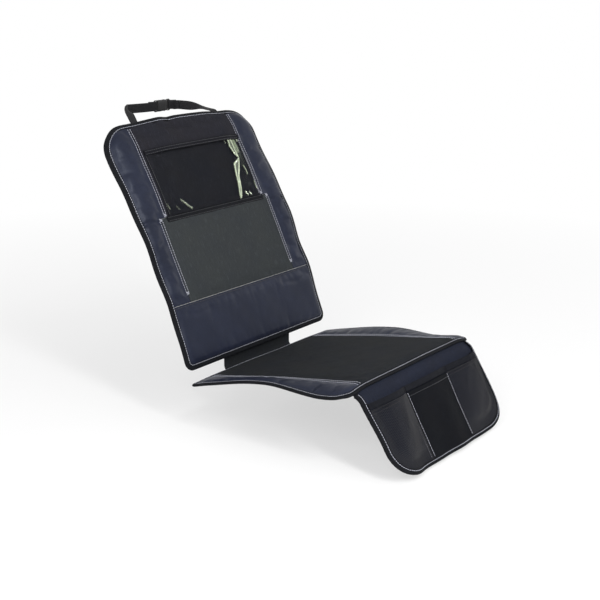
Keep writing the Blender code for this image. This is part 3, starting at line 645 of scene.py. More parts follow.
class Graph:
    """The nodes of a material or of the world."""

    def __init__(self, owner: bpy.types.Material | bpy.types.World) -> None:
        """Starts with the owner's one shader and its output."""
        owner.use_nodes = True
        self.owner = owner
        self.tree = owner.node_tree
        world = isinstance(owner, bpy.types.World)
        self.shader = self.tree.nodes["Background" if world else "Principled BSDF"]
        self.output = self.tree.nodes["World Output" if world else "Material Output"]

    def feed(self, socket: bpy.types.NodeSocket, value: object) -> None:
        """Links a value or another socket to a socket, or sets its number or colour."""
        if isinstance(value, Value):
            self.tree.links.new(value.socket, socket)
        elif isinstance(value, bpy.types.NodeSocket):
            self.tree.links.new(value, socket)
        elif isinstance(value, tuple) and socket.type == "RGBA" and len(value) == 3:
            socket.default_value = (*value, 1.0)
        else:
            socket.default_value = value

    def node(
        self, kind: str, settings: dict[str, object] | None = None, inputs: dict | None = None
    ) -> bpy.types.Node:
        """Adds a node.

        Args:
            kind: The node's type.
            settings: Its settings.
            inputs: Values or links of its sockets, by name or number.

        Returns:
            The node.
        """
        made = self.tree.nodes.new(kind)
        for key, value in (settings or {}).items():
            setattr(made, key, value)
        for key, value in (inputs or {}).items():
            self.feed(made.inputs[key], value)
        return made

    def reckon(self, operation: str, first: object, second: object = 0.0) -> Value:
        """Adds a Math node and returns its value."""
        made = self.node("ShaderNodeMath", {"operation": operation}, {0: first, 1: second})
        return Value(self, made.outputs[0])

    def flat(self) -> tuple[Value, Value, bpy.types.NodeSocket]:
        """The piece's flat places: across, along, and both as a vector."""
        spot = self.node("ShaderNodeUVMap", {"uv_map": "flat"}).outputs[0]
        parts = self.node("ShaderNodeSeparateXYZ", None, {0: spot})
        return Value(self, parts.outputs[0]), Value(self, parts.outputs[1]), spot

    def place(self) -> bpy.types.NodeSocket:
        """The place on the object, as a vector."""
        return self.node("ShaderNodeTexCoord").outputs["Object"]

    def noise(self, spot: bpy.types.NodeSocket, scale: float, detail: float = 3.0) -> Value:
        """Cloudy values between 0 and 1."""
        made = self.node("ShaderNodeTexNoise", None, {"Vector": spot, "Scale": scale, "Detail": detail})
        return Value(self, made.outputs["Fac"])

    def streaks(self, spot: bpy.types.NodeSocket, scales: tuple[float, float], detail: float) -> Value:
        """Cloudy values that are drawn out one way."""
        drawn = self.node("ShaderNodeMapping", None, {"Vector": spot, "Scale": (*scales, 1.0)})
        return self.noise(drawn.outputs[0], 1.0, detail)

    def cells(self, spot: bpy.types.NodeSocket, scale: float) -> Value:
        """Distances to the nearest of scattered points, in cells."""
        made = self.node("ShaderNodeTexVoronoi", None, {"Vector": spot, "Scale": scale})
        return Value(self, made.outputs["Distance"])

    def mix(self, share: Value, first: object, second: object) -> bpy.types.NodeSocket:
        """A colour between two colours."""
        settings = {"data_type": "RGBA", "clamp_factor": True}
        made = self.node("ShaderNodeMix", settings, {0: share, 6: first, 7: second})
        return made.outputs[2]

    def relief(self, height: Value, distance_m: float, strength: float = 1.0) -> None:
        """Gives the shader a bump of a height between 0 and 1."""
        made = self.node(
            "ShaderNodeBump", None, {"Height": height, "Distance": distance_m, "Strength": strength}
        )
        self.feed(self.shader.inputs["Normal"], made.outputs[0])

    def surface(self, **inputs: object) -> None:
        """Sets the shader's sockets by name, with _ for a space."""
        for key, value in inputs.items():
            self.feed(self.shader.inputs[key.replace("_", " ")], value)

    def cover(self, share: Value, under: bpy.types.Node, over: bpy.types.Node) -> None:
        """Mixes two shaders by a share of the second."""
        inputs = {0: share, 1: under.outputs[0], 2: over.outputs[0]}
        both = self.node("ShaderNodeMixShader", None, inputs)
        self.feed(self.output.inputs["Surface"], both.outputs[0])


def tint(colour: Sequence[float], share: float) -> tuple[float, float, float]:
    """A colour made lighter or darker by a share."""
    return tuple(min(1.0, c * share) for c in colour)


@dataclass(frozen=True)
class Finish:
    """A finish of one kind of surface, and the name of its slot."""

    name: str
    slot: str
    colour: tuple[float, float, float]

    def make(self) -> bpy.types.Material:
        """The finish's material, made once."""
        if self.name not in bpy.data.materials:
            self.build(Graph(bpy.data.materials.new(self.name)))
        return bpy.data.materials[self.name]

    def build(self, g: Graph) -> None:
        """Builds the material's nodes."""
        raise NotImplementedError


@dataclass(frozen=True)
class Leatherette(Finish):
    """Coated cloth with a fine pebble grain and a soft sheen."""

    grain: float = 1050.0
    roughness: float = 0.36

    def build(self, g: Graph) -> None:
        """Builds the material's nodes."""
        _, _, spot = g.flat()
        pebbles = g.cells(spot, self.grain)
        wrinkles = g.noise(spot, 180.0, 4.0)
        cloud = g.noise(spot, 9.0, 3.0)
        scuffs = g.noise(spot, 38.0, 6.0).between(0.52, 0.74)
        dark = g.mix(cloud.between(0.3, 0.7), tint(self.colour, 0.78), tint(self.colour, 1.18))
        colour = g.mix(scuffs * 0.25, dark, tint(self.colour, 1.7))
        colour = g.mix(pebbles.between(0.45, 0.8) * 0.5, colour, tint(self.colour, 0.4))
        g.relief(1.0 - pebbles * 0.75 + wrinkles * 0.8, 0.00007, 0.6)
        g.surface(
            Base_Color=colour,
            Roughness=self.roughness + cloud * 0.08 + scuffs * 0.08,
            Specular_IOR_Level=0.17,
            Specular_Tint=(0.82, 0.88, 1.0),
        )


@dataclass(frozen=True)
class Weave(Finish):
    """Woven cloth, with ribs where its threads are heavier one way."""

    thread: float = 0.0009
    rib: float = 0.0022
    rib_depth: float = 0.35
    roughness: float = 0.82
    warm: tuple[float, float, float] = (0.020, 0.019, 0.018)

    def build(self, g: Graph) -> None:
        """Builds the material's nodes."""
        across, along, spot = g.flat()
        over = (across.sine(self.thread) - 0.5) * (along.sine(self.thread) - 0.5) * 2.0 + 0.5
        ribs = across.sine(self.rib)
        fuzz = g.noise(spot, 1500.0, 2.0)
        cloud = g.noise(spot, 14.0, 4.0)
        slubs = g.streaks(spot, (420.0, 60.0), 2.0)
        colour = g.mix(cloud.between(0.32, 0.68), self.colour, self.warm)
        shown = (over * 0.6 + ribs * self.rib_depth).between(0.1, 0.9)
        colour = g.mix(shown, tint(self.colour, 0.45), colour)
        colour = g.mix(slubs.between(0.55, 0.8) * 0.35, colour, tint(self.colour, 2.2))
        g.relief(over * 0.5 + ribs * self.rib_depth + fuzz * 0.35 + slubs * 0.2, 0.00035, 0.8)
        g.surface(
            Base_Color=colour,
            Roughness=self.roughness + fuzz * 0.1,
            Specular_IOR_Level=0.10,
        )


@dataclass(frozen=True)
class Ribbed(Finish):
    """Narrow tape with ribs across it and a firmer line along each edge."""

    pitch: float = 0.0011
    roughness: float = 0.62
    lengthwise: bool = False

    def build(self, g: Graph) -> None:
        """Builds the material's nodes."""
        around, along, spot = g.flat()
        ribs = (around if self.lengthwise else along).sine(self.pitch)
        threads = (along if self.lengthwise else around).sine(self.pitch * 0.55)
        cloud = g.noise(spot, 45.0, 4.0)
        fuzz = g.noise(spot, 1800.0, 2.0)
        body = ribs * 0.7 + threads * 0.2 + fuzz * 0.3
        colour = g.mix(body.between(0.1, 1.0), tint(self.colour, 0.5), tint(self.colour, 1.35))
        colour = g.mix(cloud.between(0.45, 0.75) * 0.4, colour, tint(self.colour, 2.0))
        g.relief(body, 0.00030, 0.8)
        g.surface(
            Base_Color=colour,
            Roughness=self.roughness + cloud * 0.15,
            Specular_IOR_Level=0.06,
        )


@dataclass(frozen=True)
class Thread(Finish):
    """Twisted sewing thread."""

    def build(self, g: Graph) -> None:
        """Builds the material's nodes."""
        around, along, _ = g.flat()
        ply = (along + around * 1.3).sine(0.00085)
        cloud = g.noise(g.place(), 60.0, 2.0)
        colour = g.mix(ply, tint(self.colour, 0.62), self.colour)
        colour = g.mix(cloud.between(0.35, 0.7) * 0.5, colour, tint(self.colour, 0.7))
        g.relief(ply, 0.0001, 0.6)
        g.surface(Base_Color=colour, Roughness=0.6 + cloud * 0.1, Sheen_Weight=0.05)


@dataclass(frozen=True)
class Film(Finish):
    """Clear film that lets through what lies behind it, and mirrors along its creases, where a pale
    yellow-green highlight is painted.
    """

    highlight_colour: tuple[float, float, float] = (0.74, 0.83, 0.62)

    def build(self, g: Graph) -> None:
        """Builds the material's nodes."""
        _, _, spot = g.flat()
        ripple = g.noise(spot, 22.0, 1.0)
        fine = g.noise(spot, 160.0, 4.0)
        # The crease mask follows the film's ridges; along it a highlight is painted.
        crease_highlight = Value(g, g.node("ShaderNodeAttribute", {"attribute_name": "crease_highlight"}).outputs["Fac"])
        scratches = g.streaks(spot, (30.0, 900.0), 3.0).between(0.62, 0.75)
        g.relief(ripple, 0.0016, 0.5)
        facing = Value(g, g.node("ShaderNodeLayerWeight", None, {"Blend": 0.10}).outputs["Fresnel"])
        g.surface(
            # Along the crease mask, and more faintly at grazing angles, the mirror colour turns pale
            # yellow-green: a painted highlight.
            Base_Color=g.mix(facing * 1.5 + crease_highlight, self.colour, self.highlight_colour),
            Roughness=0.06 + fine.between(0.3, 0.9) * 0.08 + scratches * 0.2 + crease_highlight * 0.15,
            Metallic=1.0,
        )
        clear = g.node("ShaderNodeBsdfTransparent", None, {"Color": (0.93, 0.94, 0.93)})
        share = facing.between(0.02, 1.0) * 0.6 + crease_highlight * 0.8
        g.cover(share, clear, g.shader)


@dataclass(frozen=True)
class Webbing(Finish):
    """Heavy woven strap with ribs along it and a chevron of threads."""

    def build(self, g: Graph) -> None:
        """Builds the material's nodes."""
        around, along, spot = g.flat()
        ribs = around.sine(0.0031)
        chevron = (along + abs(around.sine(0.0062) - 0.5) * 0.003).sine(0.0015)
        fuzz = g.noise(spot, 1500.0, 2.0)
        cloud = g.noise(spot, 40.0, 4.0)
        body = chevron * 0.6 + ribs * 0.4 + fuzz * 0.3
        colour = g.mix(body.between(0.2, 1.1), tint(self.colour, 0.5), tint(self.colour, 1.6))
        colour = g.mix(cloud.between(0.5, 0.8) * 0.4, colour, tint(self.colour, 2.4))
        g.relief(body, 0.0004, 0.8)
        g.surface(Base_Color=colour, Roughness=0.6 + fuzz * 0.15, Specular_IOR_Level=0.2)


@dataclass(frozen=True)
class Moulded(Finish):
    """Moulded plastic with a fine spark-eroded grain and rubbed edges."""

    roughness: float = 0.42

    def build(self, g: Graph) -> None:
        """Builds the material's nodes."""
        spot = g.place()
        grain = g.noise(spot, 2600.0, 2.0)
        cloud = g.noise(spot, 70.0, 3.0)
        rubs = g.noise(spot, 260.0, 5.0).between(0.56, 0.75)
        colour = g.mix(cloud, tint(self.colour, 0.8), tint(self.colour, 1.2))
        colour = g.mix(rubs * 0.5, colour, tint(self.colour, 2.4))
        g.relief(grain, 0.00008, 0.6)
        g.surface(Base_Color=colour, Roughness=self.roughness + rubs * 0.12 + cloud * 0.06)


@dataclass(frozen=True)
class Padding(Finish):
    """Open-cell foam."""

    def build(self, g: Graph) -> None:
        """Builds the material's nodes."""
        spot = g.place()
        cells = g.cells(spot, 700.0)
        cloud = g.noise(spot, 25.0, 3.0)
        colour = g.mix(cells, tint(self.colour, 0.6), self.colour)
        colour = g.mix(cloud * 0.4, colour, tint(self.colour, 0.85))
        g.relief(cells, 0.0005, 0.8)
        g.surface(Base_Color=colour, Roughness=0.9 + cloud * 0.05)


@dataclass(frozen=True)
class Grip(Finish):
    """Cloth with rows of raised rubber dots that keep it from slipping."""

    pitch: float = 0.008

    def build(self, g: Graph) -> None:
        """Builds the material's nodes."""
        across, along, spot = g.flat()
        one = across.sine(self.pitch) * along.sine(self.pitch)
        two = across.sine(self.pitch, math.pi) * along.sine(self.pitch, math.pi)
        dots = (one + two).between(0.72, 0.82)
        threads = across.sine(0.0008) * along.sine(0.0008)
        fuzz = g.noise(spot, 1200.0, 2.0)
        cloud = g.noise(spot, 16.0, 3.0)
        cloth = g.mix(threads + cloud * 0.3, tint(self.colour, 0.6), tint(self.colour, 1.5))
        colour = g.mix(dots, cloth, tint(self.colour, 0.45))
        g.relief(dots * 0.8 + threads * 0.15 + fuzz * 0.08, 0.0008, 0.9)
        g.surface(Base_Color=colour, Roughness=0.85 - dots * 0.4 + fuzz * 0.1)


LEATHER = Leatherette("leatherette_navy", "leatherette", (0.0112, 0.0135, 0.0255))
UPPER_CLOTH = Weave(
    "woven_black", "woven_fabric", (0.0190, 0.0195, 0.0270), rib=0.0016, rib_depth=0.15,
    warm=(0.0240, 0.0220, 0.0250),
)
LOWER_CLOTH = Weave(
    "woven_grey", "woven_fabric", (0.032, 0.036, 0.040), rib_depth=0.5, warm=(0.038, 0.042, 0.042)
)
SEAT_CLOTH = Weave(
    "woven_seat", "woven_fabric", (0.013, 0.015, 0.019), rib_depth=0.45, warm=(0.017, 0.018, 0.018)
)
FLAP_CLOTH = Weave(
    "woven_navy", "woven_fabric", (0.014, 0.017, 0.030), rib_depth=0.6, warm=(0.013, 0.015, 0.024)
)
POCKET_CLOTH = Weave(
    "woven_pocket", "woven_fabric", (0.0040, 0.0050, 0.0075), rib=0.0014, rib_depth=0.15,
    warm=(0.006, 0.006, 0.008),
)
BINDING = Ribbed("binding_black", "binding_tape", (0.0060, 0.0065, 0.0080))
ELASTIC = Ribbed(
    "elastic_black", "elastic_tape", (0.0070, 0.0075, 0.0100), pitch=0.0016, lengthwise=True
)
LINING = Weave(
    "lining_grey", "lining_cloth", (0.046, 0.046, 0.050), rib_depth=0.2, warm=(0.038, 0.038, 0.042)
)
GRIP = Grip("grip_dots", "grip_cloth", (0.016, 0.016, 0.018))
FOAM = Padding("foam_pale", "foam", (0.55, 0.55, 0.52))
HEM = Ribbed("hem_black", "binding_tape", (0.0070, 0.0072, 0.0095))
FILM = Film("film_clear", "clear_film", (0.050, 0.052, 0.054))
MESH = Moulded("net_black", "net", (0.010, 0.010, 0.013), roughness=0.6)
WEBBING = Webbing("webbing_black", "webbing", (0.0045, 0.0045, 0.0055))
PLASTIC = Moulded("plastic_black", "buckle_plastic", (0.0030, 0.0031, 0.0036), roughness=0.5)
PALE_THREAD = Thread("thread_pale", "binding_tape", (0.38, 0.39, 0.45))
DARK_THREAD = Thread("thread_dark", "binding_tape", (0.024, 0.024, 0.030))


def hand_over(
    piece: bpy.types.Object, finish: Finish, nodes: Sequence[str] = (), body: Body | None = Body.MAT
) -> None:
    """Dresses a finished piece and puts it on its body.

    Args:
        piece: The piece.
        finish: Its finish.
        nodes: The CAD nodes that it stands for.
        body: The body that it rides on, or None if it is blended between two.
    """
    piece.data.materials.clear()
    piece.data.materials.append(finish.make())
    if body:
        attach(piece, body.value)
    if nodes:
        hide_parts(*nodes)
    LOG.info("%s: %d faces, %s", piece.name, len(piece.data.polygons), finish.name)


# Cloth


def hand_over_sheet(
    piece: bpy.types.Object,
    finish: Finish,
    node: str,
    flat: tuple[float, float],
    held: Hold,
) -> None:
    """Hands over a sheet.

    Args:
        piece: The sheet.
        finish: Its finish.
        node: The CAD node that it stands for.
        flat: Its width and length before it is folded or gathered; not used.
        held: How it is held; not used.
    """
    hand_over(piece, finish, [node])


def blow_up(
    piece: bpy.types.Object, sewn: np.ndarray, pressure: float, spare: float, cap: float
) -> None:
    """Swells a flat pattern with a cloth simulation, held where it is sewn.

    Args:
        piece: The flat piece.
        sewn: Whether each point is sewn down.
        pressure: The filling's push.
        spare: How much wider and longer the cloth is than its seams.
        cap: How far a point may rise.
    """
    rest = points_of(piece)
    group = piece.vertex_groups.new(name="sewn")
    group.add([int(i) for i in np.nonzero(sewn)[0]], 1.0, "REPLACE")
    pick(piece)
    cloth = piece.modifiers.new("cloth", "CLOTH")
    settings = {
        "quality": 6,
        "mass": 0.12,
        "tension_stiffness": 14,
        "compression_stiffness": 14,
        "shear_stiffness": 5,
        "bending_stiffness": 0.25,
        "vertex_group_mass": group.name,
        "use_pressure": True,
        "uniform_pressure_force": pressure,
        "shrink_min": -spare,
    }
    for key, value in settings.items():
        setattr(cloth.settings, key, value)
    cloth.settings.effector_weights.gravity = 0
    cloth.collision_settings.use_collision = False
    cloth.point_cache.frame_start = 1
    cloth.point_cache.frame_end = CLOTH_FRAMES
    for step in range(1, CLOTH_FRAMES + 1):
        bpy.context.scene.frame_set(step)
    bpy.ops.object.modifier_apply(modifier=cloth.name)
    bpy.context.scene.frame_set(1)
    piece.vertex_groups.clear()
    moved = points_of(piece) - rest
    moved[:, 2] = cap * np.tanh(moved[:, 2] / cap)
    moved[:, :2] = np.clip(moved[:, :2], -0.002, 0.002)
    put_points(piece, rest + moved)


@dataclass
class Pad:
    """A padded panel: swollen, sewn through along its seams, and flat underneath.

    Attributes:
        name: The piece's name.
        corners: The panel's corners.
        swell: How far it rises between its seams.
        rise: How far from a seam it has risen.
        spare: How much slack cloth it has.
        seams: Lines that are sewn through it.
        creases: Lines, depths and widths of folds.
        pitch: The size of its cells.
        seed: Tells its wrinkles from those of others.
        pucker: The height of the puckers beside its seams.
        pressure: The push of its filling while it swells.
    """

    name: str
    corners: Sequence[Corner]
    swell: float
    rise: float = 0.014
    spare: float = 0.012
    seams: Sequence[np.ndarray] = ()
    creases: Sequence[Crease] = ()
    pitch: float = 0.0055
    seed: float = 0.0
    pucker: float = 0.00045
    pressure: float = 4.0

    def build(self, contour: Contour, ground: Ground) -> bpy.types.Object:
        """Builds the pad.

        Args:
            contour: What it is laid on.
            ground: The tops that stitches lie on, to which it is added.

        Returns:
            The padded piece.
        """
        piece = cut_out(self.name, self.corners, self.pitch)
        points = points_of(piece)
        points[:, 2] = LAYERS.cover_high
        put_points(piece, points)
        rim = rim_segments(piece)
        gap = distance(points[:, 0], points[:, 1], rim)
        blow_up(piece, gap < SEWN_RIM, self.pressure, self.spare, self.swell)
        finish_with(piece, "SUBSURF", levels=1, render_levels=1, boundary_smooth="PRESERVE_CORNERS")
        points = points_of(piece)
        u, v, w = points.T
        rim = rim_segments(piece)
        gap = distance(u, v, rim)
        height = (w - LAYERS.cover_high) * smooth(gap / self.rise)
        sewn = gap
        for seam in self.seams:
            away = distance(u, v, chain(seam))
            height *= 1 - SEAM_DEPTH * bump(away / SEAM_WIDTH)
            sewn = np.minimum(sewn, away)
        puckers = self.pucker * ruffle(u, v, PUCKER_WAVE, self.seed)
        height += puckers * np.exp(-sewn / PUCKER_REACH) * smooth(gap / 0.004)
        height += 0.0006 * ruffle(u, v, 0.09, self.seed + 2.0) * smooth(gap / 0.02)
        for fold, depth, width in self.creases:
            height -= depth * bump(distance(u, v, chain(fold)) / width) * smooth(gap / 0.008)
        points[:, 2] = LAYERS.cover_high + height
        put_points(piece, points)
        ground.add(piece)
        count = len(points)
        finish_with(piece, "SOLIDIFY", thickness=LAYERS.cover, offset=-1.0, use_rim=True)
        closed = points_of(piece)
        closed[count:, :2] = points[:, :2]
        closed[count:, 2] = LAYERS.cover_low
        put_points(piece, closed)
        flat_map(piece)
        contour.lay(piece)
        return piece


def flat_sheet(
    name: str,
    corners: Sequence[Corner],
    pitch: float,
    height: Field,
    thickness: float,
    contour: Contour,
    ground: Ground | None = None,
) -> bpy.types.Object:
    """Cuts a thin sheet and lays it.

    Args:
        name: The piece's name.
        corners: Its corners.
        pitch: The size of its cells.
        height: The top's height at each place.
        thickness: The sheet's thickness, below its top.
        contour: What it is laid on.
        ground: The tops that stitches lie on.

    Returns:
        The sheet.
    """
    piece = cut_out(name, corners, pitch)
    points = points_of(piece)
    points[:, 2] = height(points[:, 0], points[:, 1])
    put_points(piece, points)
    if ground:
        ground.add(piece)
    finish_with(piece, "SOLIDIFY", thickness=thickness, offset=-1.0, use_rim=True)
    flat_map(piece)
    contour.lay(piece)
    return piece


def box_corners(
    half: float, start: float, end: float, radii: tuple[float, float] = (0.0, 0.0)
) -> list[Corner]:
    """A rectangle's corners about the middle line, with the radii at its start and its end."""
    first, last = radii
    return [(-half, start, first), (half, start, first), (half, end, last), (-half, end, last)]


def inset(corners: Sequence[Corner], reach: float) -> list[Corner]:
    """Corners of a rectangle moved inwards, with their radii cut to match."""
    middle_u = sum(c[0] for c in corners) / len(corners)
    middle_v = sum(c[1] for c in corners) / len(corners)
    return [
        (
            u + (-reach if u > middle_u else reach),
            v + (-reach if v > middle_v else reach),
            max(radius - reach, 0.0),
        )
        for u, v, radius in corners
    ]


def fold_section(low: float, high: float, depth: float, tape: float) -> np.ndarray:
    """Section of a tape folded round an edge, as (inset, height) points.

    Args:
        low: The lower face of what it holds.
        high: The upper face of what it holds.
        depth: How far it reaches over it.
        tape: Its thickness.

    Returns:
        The closed section's points.
    """
    middle = (low + high) / 2
    reach = (high - low) / 2 + tape
    outer = [(depth, high + tape * 0.75), (depth - 0.0008, high + tape)]
    outer.append((depth * 0.55, high + tape * 1.25))
    nose = min(reach, depth * 0.4)
    for k in range(9):
        turn = math.pi / 2 + math.pi * k / 8
        outer.append((nose * (1 + math.cos(turn)), middle + reach * math.sin(turn)))
    outer.append((depth * 0.55, low - tape * 1.1))
    outer += [(depth - 0.0008, low - tape), (depth, low - tape * 0.75)]
    inner_nose = max(nose - tape, 0.0004)
    inner_reach = (high - low) / 2
    inner = [(depth, low), (depth * 0.5, low)]
    for k in range(5):
        turn = 1.5 * math.pi - math.pi * k / 4
        inner.append((tape + inner_nose * (1 + math.cos(turn)), middle + inner_reach * math.sin(turn)))
    inner += [(depth * 0.5, high), (depth, high)]
    return np.array(outer + inner)


def bind(
    name: str,
    path: np.ndarray,
    closed: bool,
    section: np.ndarray,
    lift: Field | None = None,
    wobble: float = 0.00025,
) -> bpy.types.Object:
    """Sweeps a tape's section along a flat path, its depth to the left.

    Args:
        name: The piece's name.
        path: Flat points of the edge.
        closed: Whether the edge is a loop.
        section: The section's points, as (inset, height).
        lift: An added height at each place.
        wobble: How uneven the tape is.

    Returns:
        The flat tape.
    """
    normals = left_normals(path, closed)
    spots = path[:, None, :] + normals[:, None, :] * section[None, :, :1]
    heights = np.broadcast_to(section[None, :, 1], spots.shape[:2]).copy()
    run = np.cumsum(np.linalg.norm(np.diff(path, axis=0, prepend=path[:1]), axis=1))[:, None]
    outer = smooth(1.2 - section[None, :, 0] / 0.008)
    wave = np.sin(run / 0.0135 * 2 * math.pi) * 0.6 + np.sin(run / 0.0071 * 2 * math.pi + 1.0) * 0.4
    heights += wobble * wave * (0.4 + 0.6 * outer) * np.sign(heights - section[:, 1].mean())
    if lift:
        heights += lift(spots[..., 0].ravel(), spots[..., 1].ravel()).reshape(heights.shape)
    rows = np.concatenate([spots, heights[..., None]], axis=2)
    return weave_grid(name, rows, closed, True)


@dataclass(frozen=True)
class Seamstress:
    """Sews lines of stitches on a section.

    Attributes:
        contour: What the section lies on.
        ground: The tops of its pieces.
        length: The length of one stitch.
        gap: The space to the next.
        thread: The thread's radius.
    """

    contour: Contour
    ground: Ground
    length: float = 0.0042
    gap: float = 0.0008
    thread: float = 0.00060

    def stitch(self) -> tuple[np.ndarray, list[tuple[int, ...]]]:
        """One stitch along x from 0 to 1, as points and faces. Its ends dip into the cloth."""
        deselect()
        bpy.ops.mesh.primitive_cylinder_add(vertices=6, radius=1.0, depth=1.0, end_fill_type="NGON")
        model = bpy.context.object
        with editing(model):
            for height in (-0.34, 0.34):
                bpy.ops.mesh.select_all(action="SELECT")
                bpy.ops.mesh.bisect(plane_co=(0, 0, height), plane_no=(0, 0, 1))
        points = points_of(model)
        faces = [tuple(p.vertices) for p in model.data.polygons]
        ends = np.abs(points[:, 2]) > 0.4
        points[ends, :2] *= 0.35
        points[ends, 1] -= 0.9
        bpy.data.objects.remove(model)
        return points[:, [2, 0, 1]] + np.array([0.5, 0.0, 0.0]), faces

    def sew(self, name: str, lines: Sequence[np.ndarray], finish: Finish = PALE_THREAD) -> None:
        """Sews stitches along flat lines.

        Args:
            name: The piece's name.
            lines: Flat lines.
            finish: The thread's finish.
        """
        model, faces = self.stitch()
        pitch = self.length + self.gap
        starts, ends = [], []
        for seam in lines:
            run = run_along(seam)
            count = max(1, int(run[-1] / pitch))
            share = run[-1] / count
            first = np.arange(count) * share
            for stops, store in ((first, starts), (first + share - self.gap, ends)):
                store.append(np.stack([np.interp(stops, run, seam[:, k]) for k in (0, 1)], axis=1))
        start, end = np.concatenate(starts), np.concatenate(ends)
        low = self.ground.heights(start, LAYERS.cover_high)
        high = self.ground.heights(end, LAYERS.cover_high)
        middle = self.ground.heights((start + end) / 2, LAYERS.cover_high)
        ahead = end - start
        aside = np.stack([-ahead[:, 1], ahead[:, 0]], axis=1) / np.linalg.norm(ahead, axis=1)[:, None]
        share = model[None, :, 0]
        flat = start[:, None, :] + ahead[:, None, :] * share[..., None]
        flat = flat + aside[:, None, :] * (model[None, :, 1:2] * self.thread)
        arch = 4 * share * (1 - share)
        sag = middle[:, None] - (low[:, None] + high[:, None]) / 2
        height = low[:, None] * (1 - share) + high[:, None] * share + sag * arch
        height = height + self.thread * (0.45 + model[None, :, 2])
        points = np.concatenate([flat, height[..., None]], axis=2).reshape(-1, 3)
        size = len(model)
        mesh = bpy.data.meshes.new(name)
        mesh.from_pydata(
            self.contour.place(points).tolist(),
            [],
            [tuple(i + k * size for i in face) for k in range(len(start)) for face in faces],
        )
        around = np.tile(np.arctan2(model[:, 2], model[:, 1]) * self.thread, len(start))
        along = np.tile(model[:, 0] * self.length, len(start))
        write_map(mesh, np.stack([around, along], axis=1))
        piece = bpy.data.objects.new(name, mesh)
        bpy.context.scene.collection.objects.link(piece)
        with editing(piece):
            bpy.ops.mesh.normals_make_consistent(inside=False)
        shade(piece, 80.0)
        hand_over(piece, finish)


def line(*spots: Spot, step: float = 0.003) -> np.ndarray:
    """A flat line through spots, in even steps."""
    return resample(np.array(spots, dtype=float), step)


def tack(u: float, v: float, width: float, height: float = 0.006) -> list[np.ndarray]:
    """The close zigzag that ends a seam, about a place."""
    rows = 6
    sides = [width / 2 if k % 2 else -width / 2 for k in range(rows + 1)]
    return [line(*((u + side, v + height * (k / rows - 0.5)) for k, side in enumerate(sides)))]


# Sections


def on_both_sides(across: float, low: float, high: float) -> list[np.ndarray]:
    """Straight lines at the same distance left and right of the middle."""
    return [line((side * across, low), (side * across, high)) for side in (-1, 1)]


def creases(side: int, *folds: tuple[tuple[Spot, ...], float, float]) -> list[Crease]:
    """Creases of a panel, each with its depth and width.

    Args:
        side: -1 where folds drawn for the right side are for the left one.
        folds: Each fold's spots, depth and width.

    Returns:
        The creases.
    """
    return [(line(*((side * u, v) for u, v in spots)), depth, width) for spots, depth, width in folds]


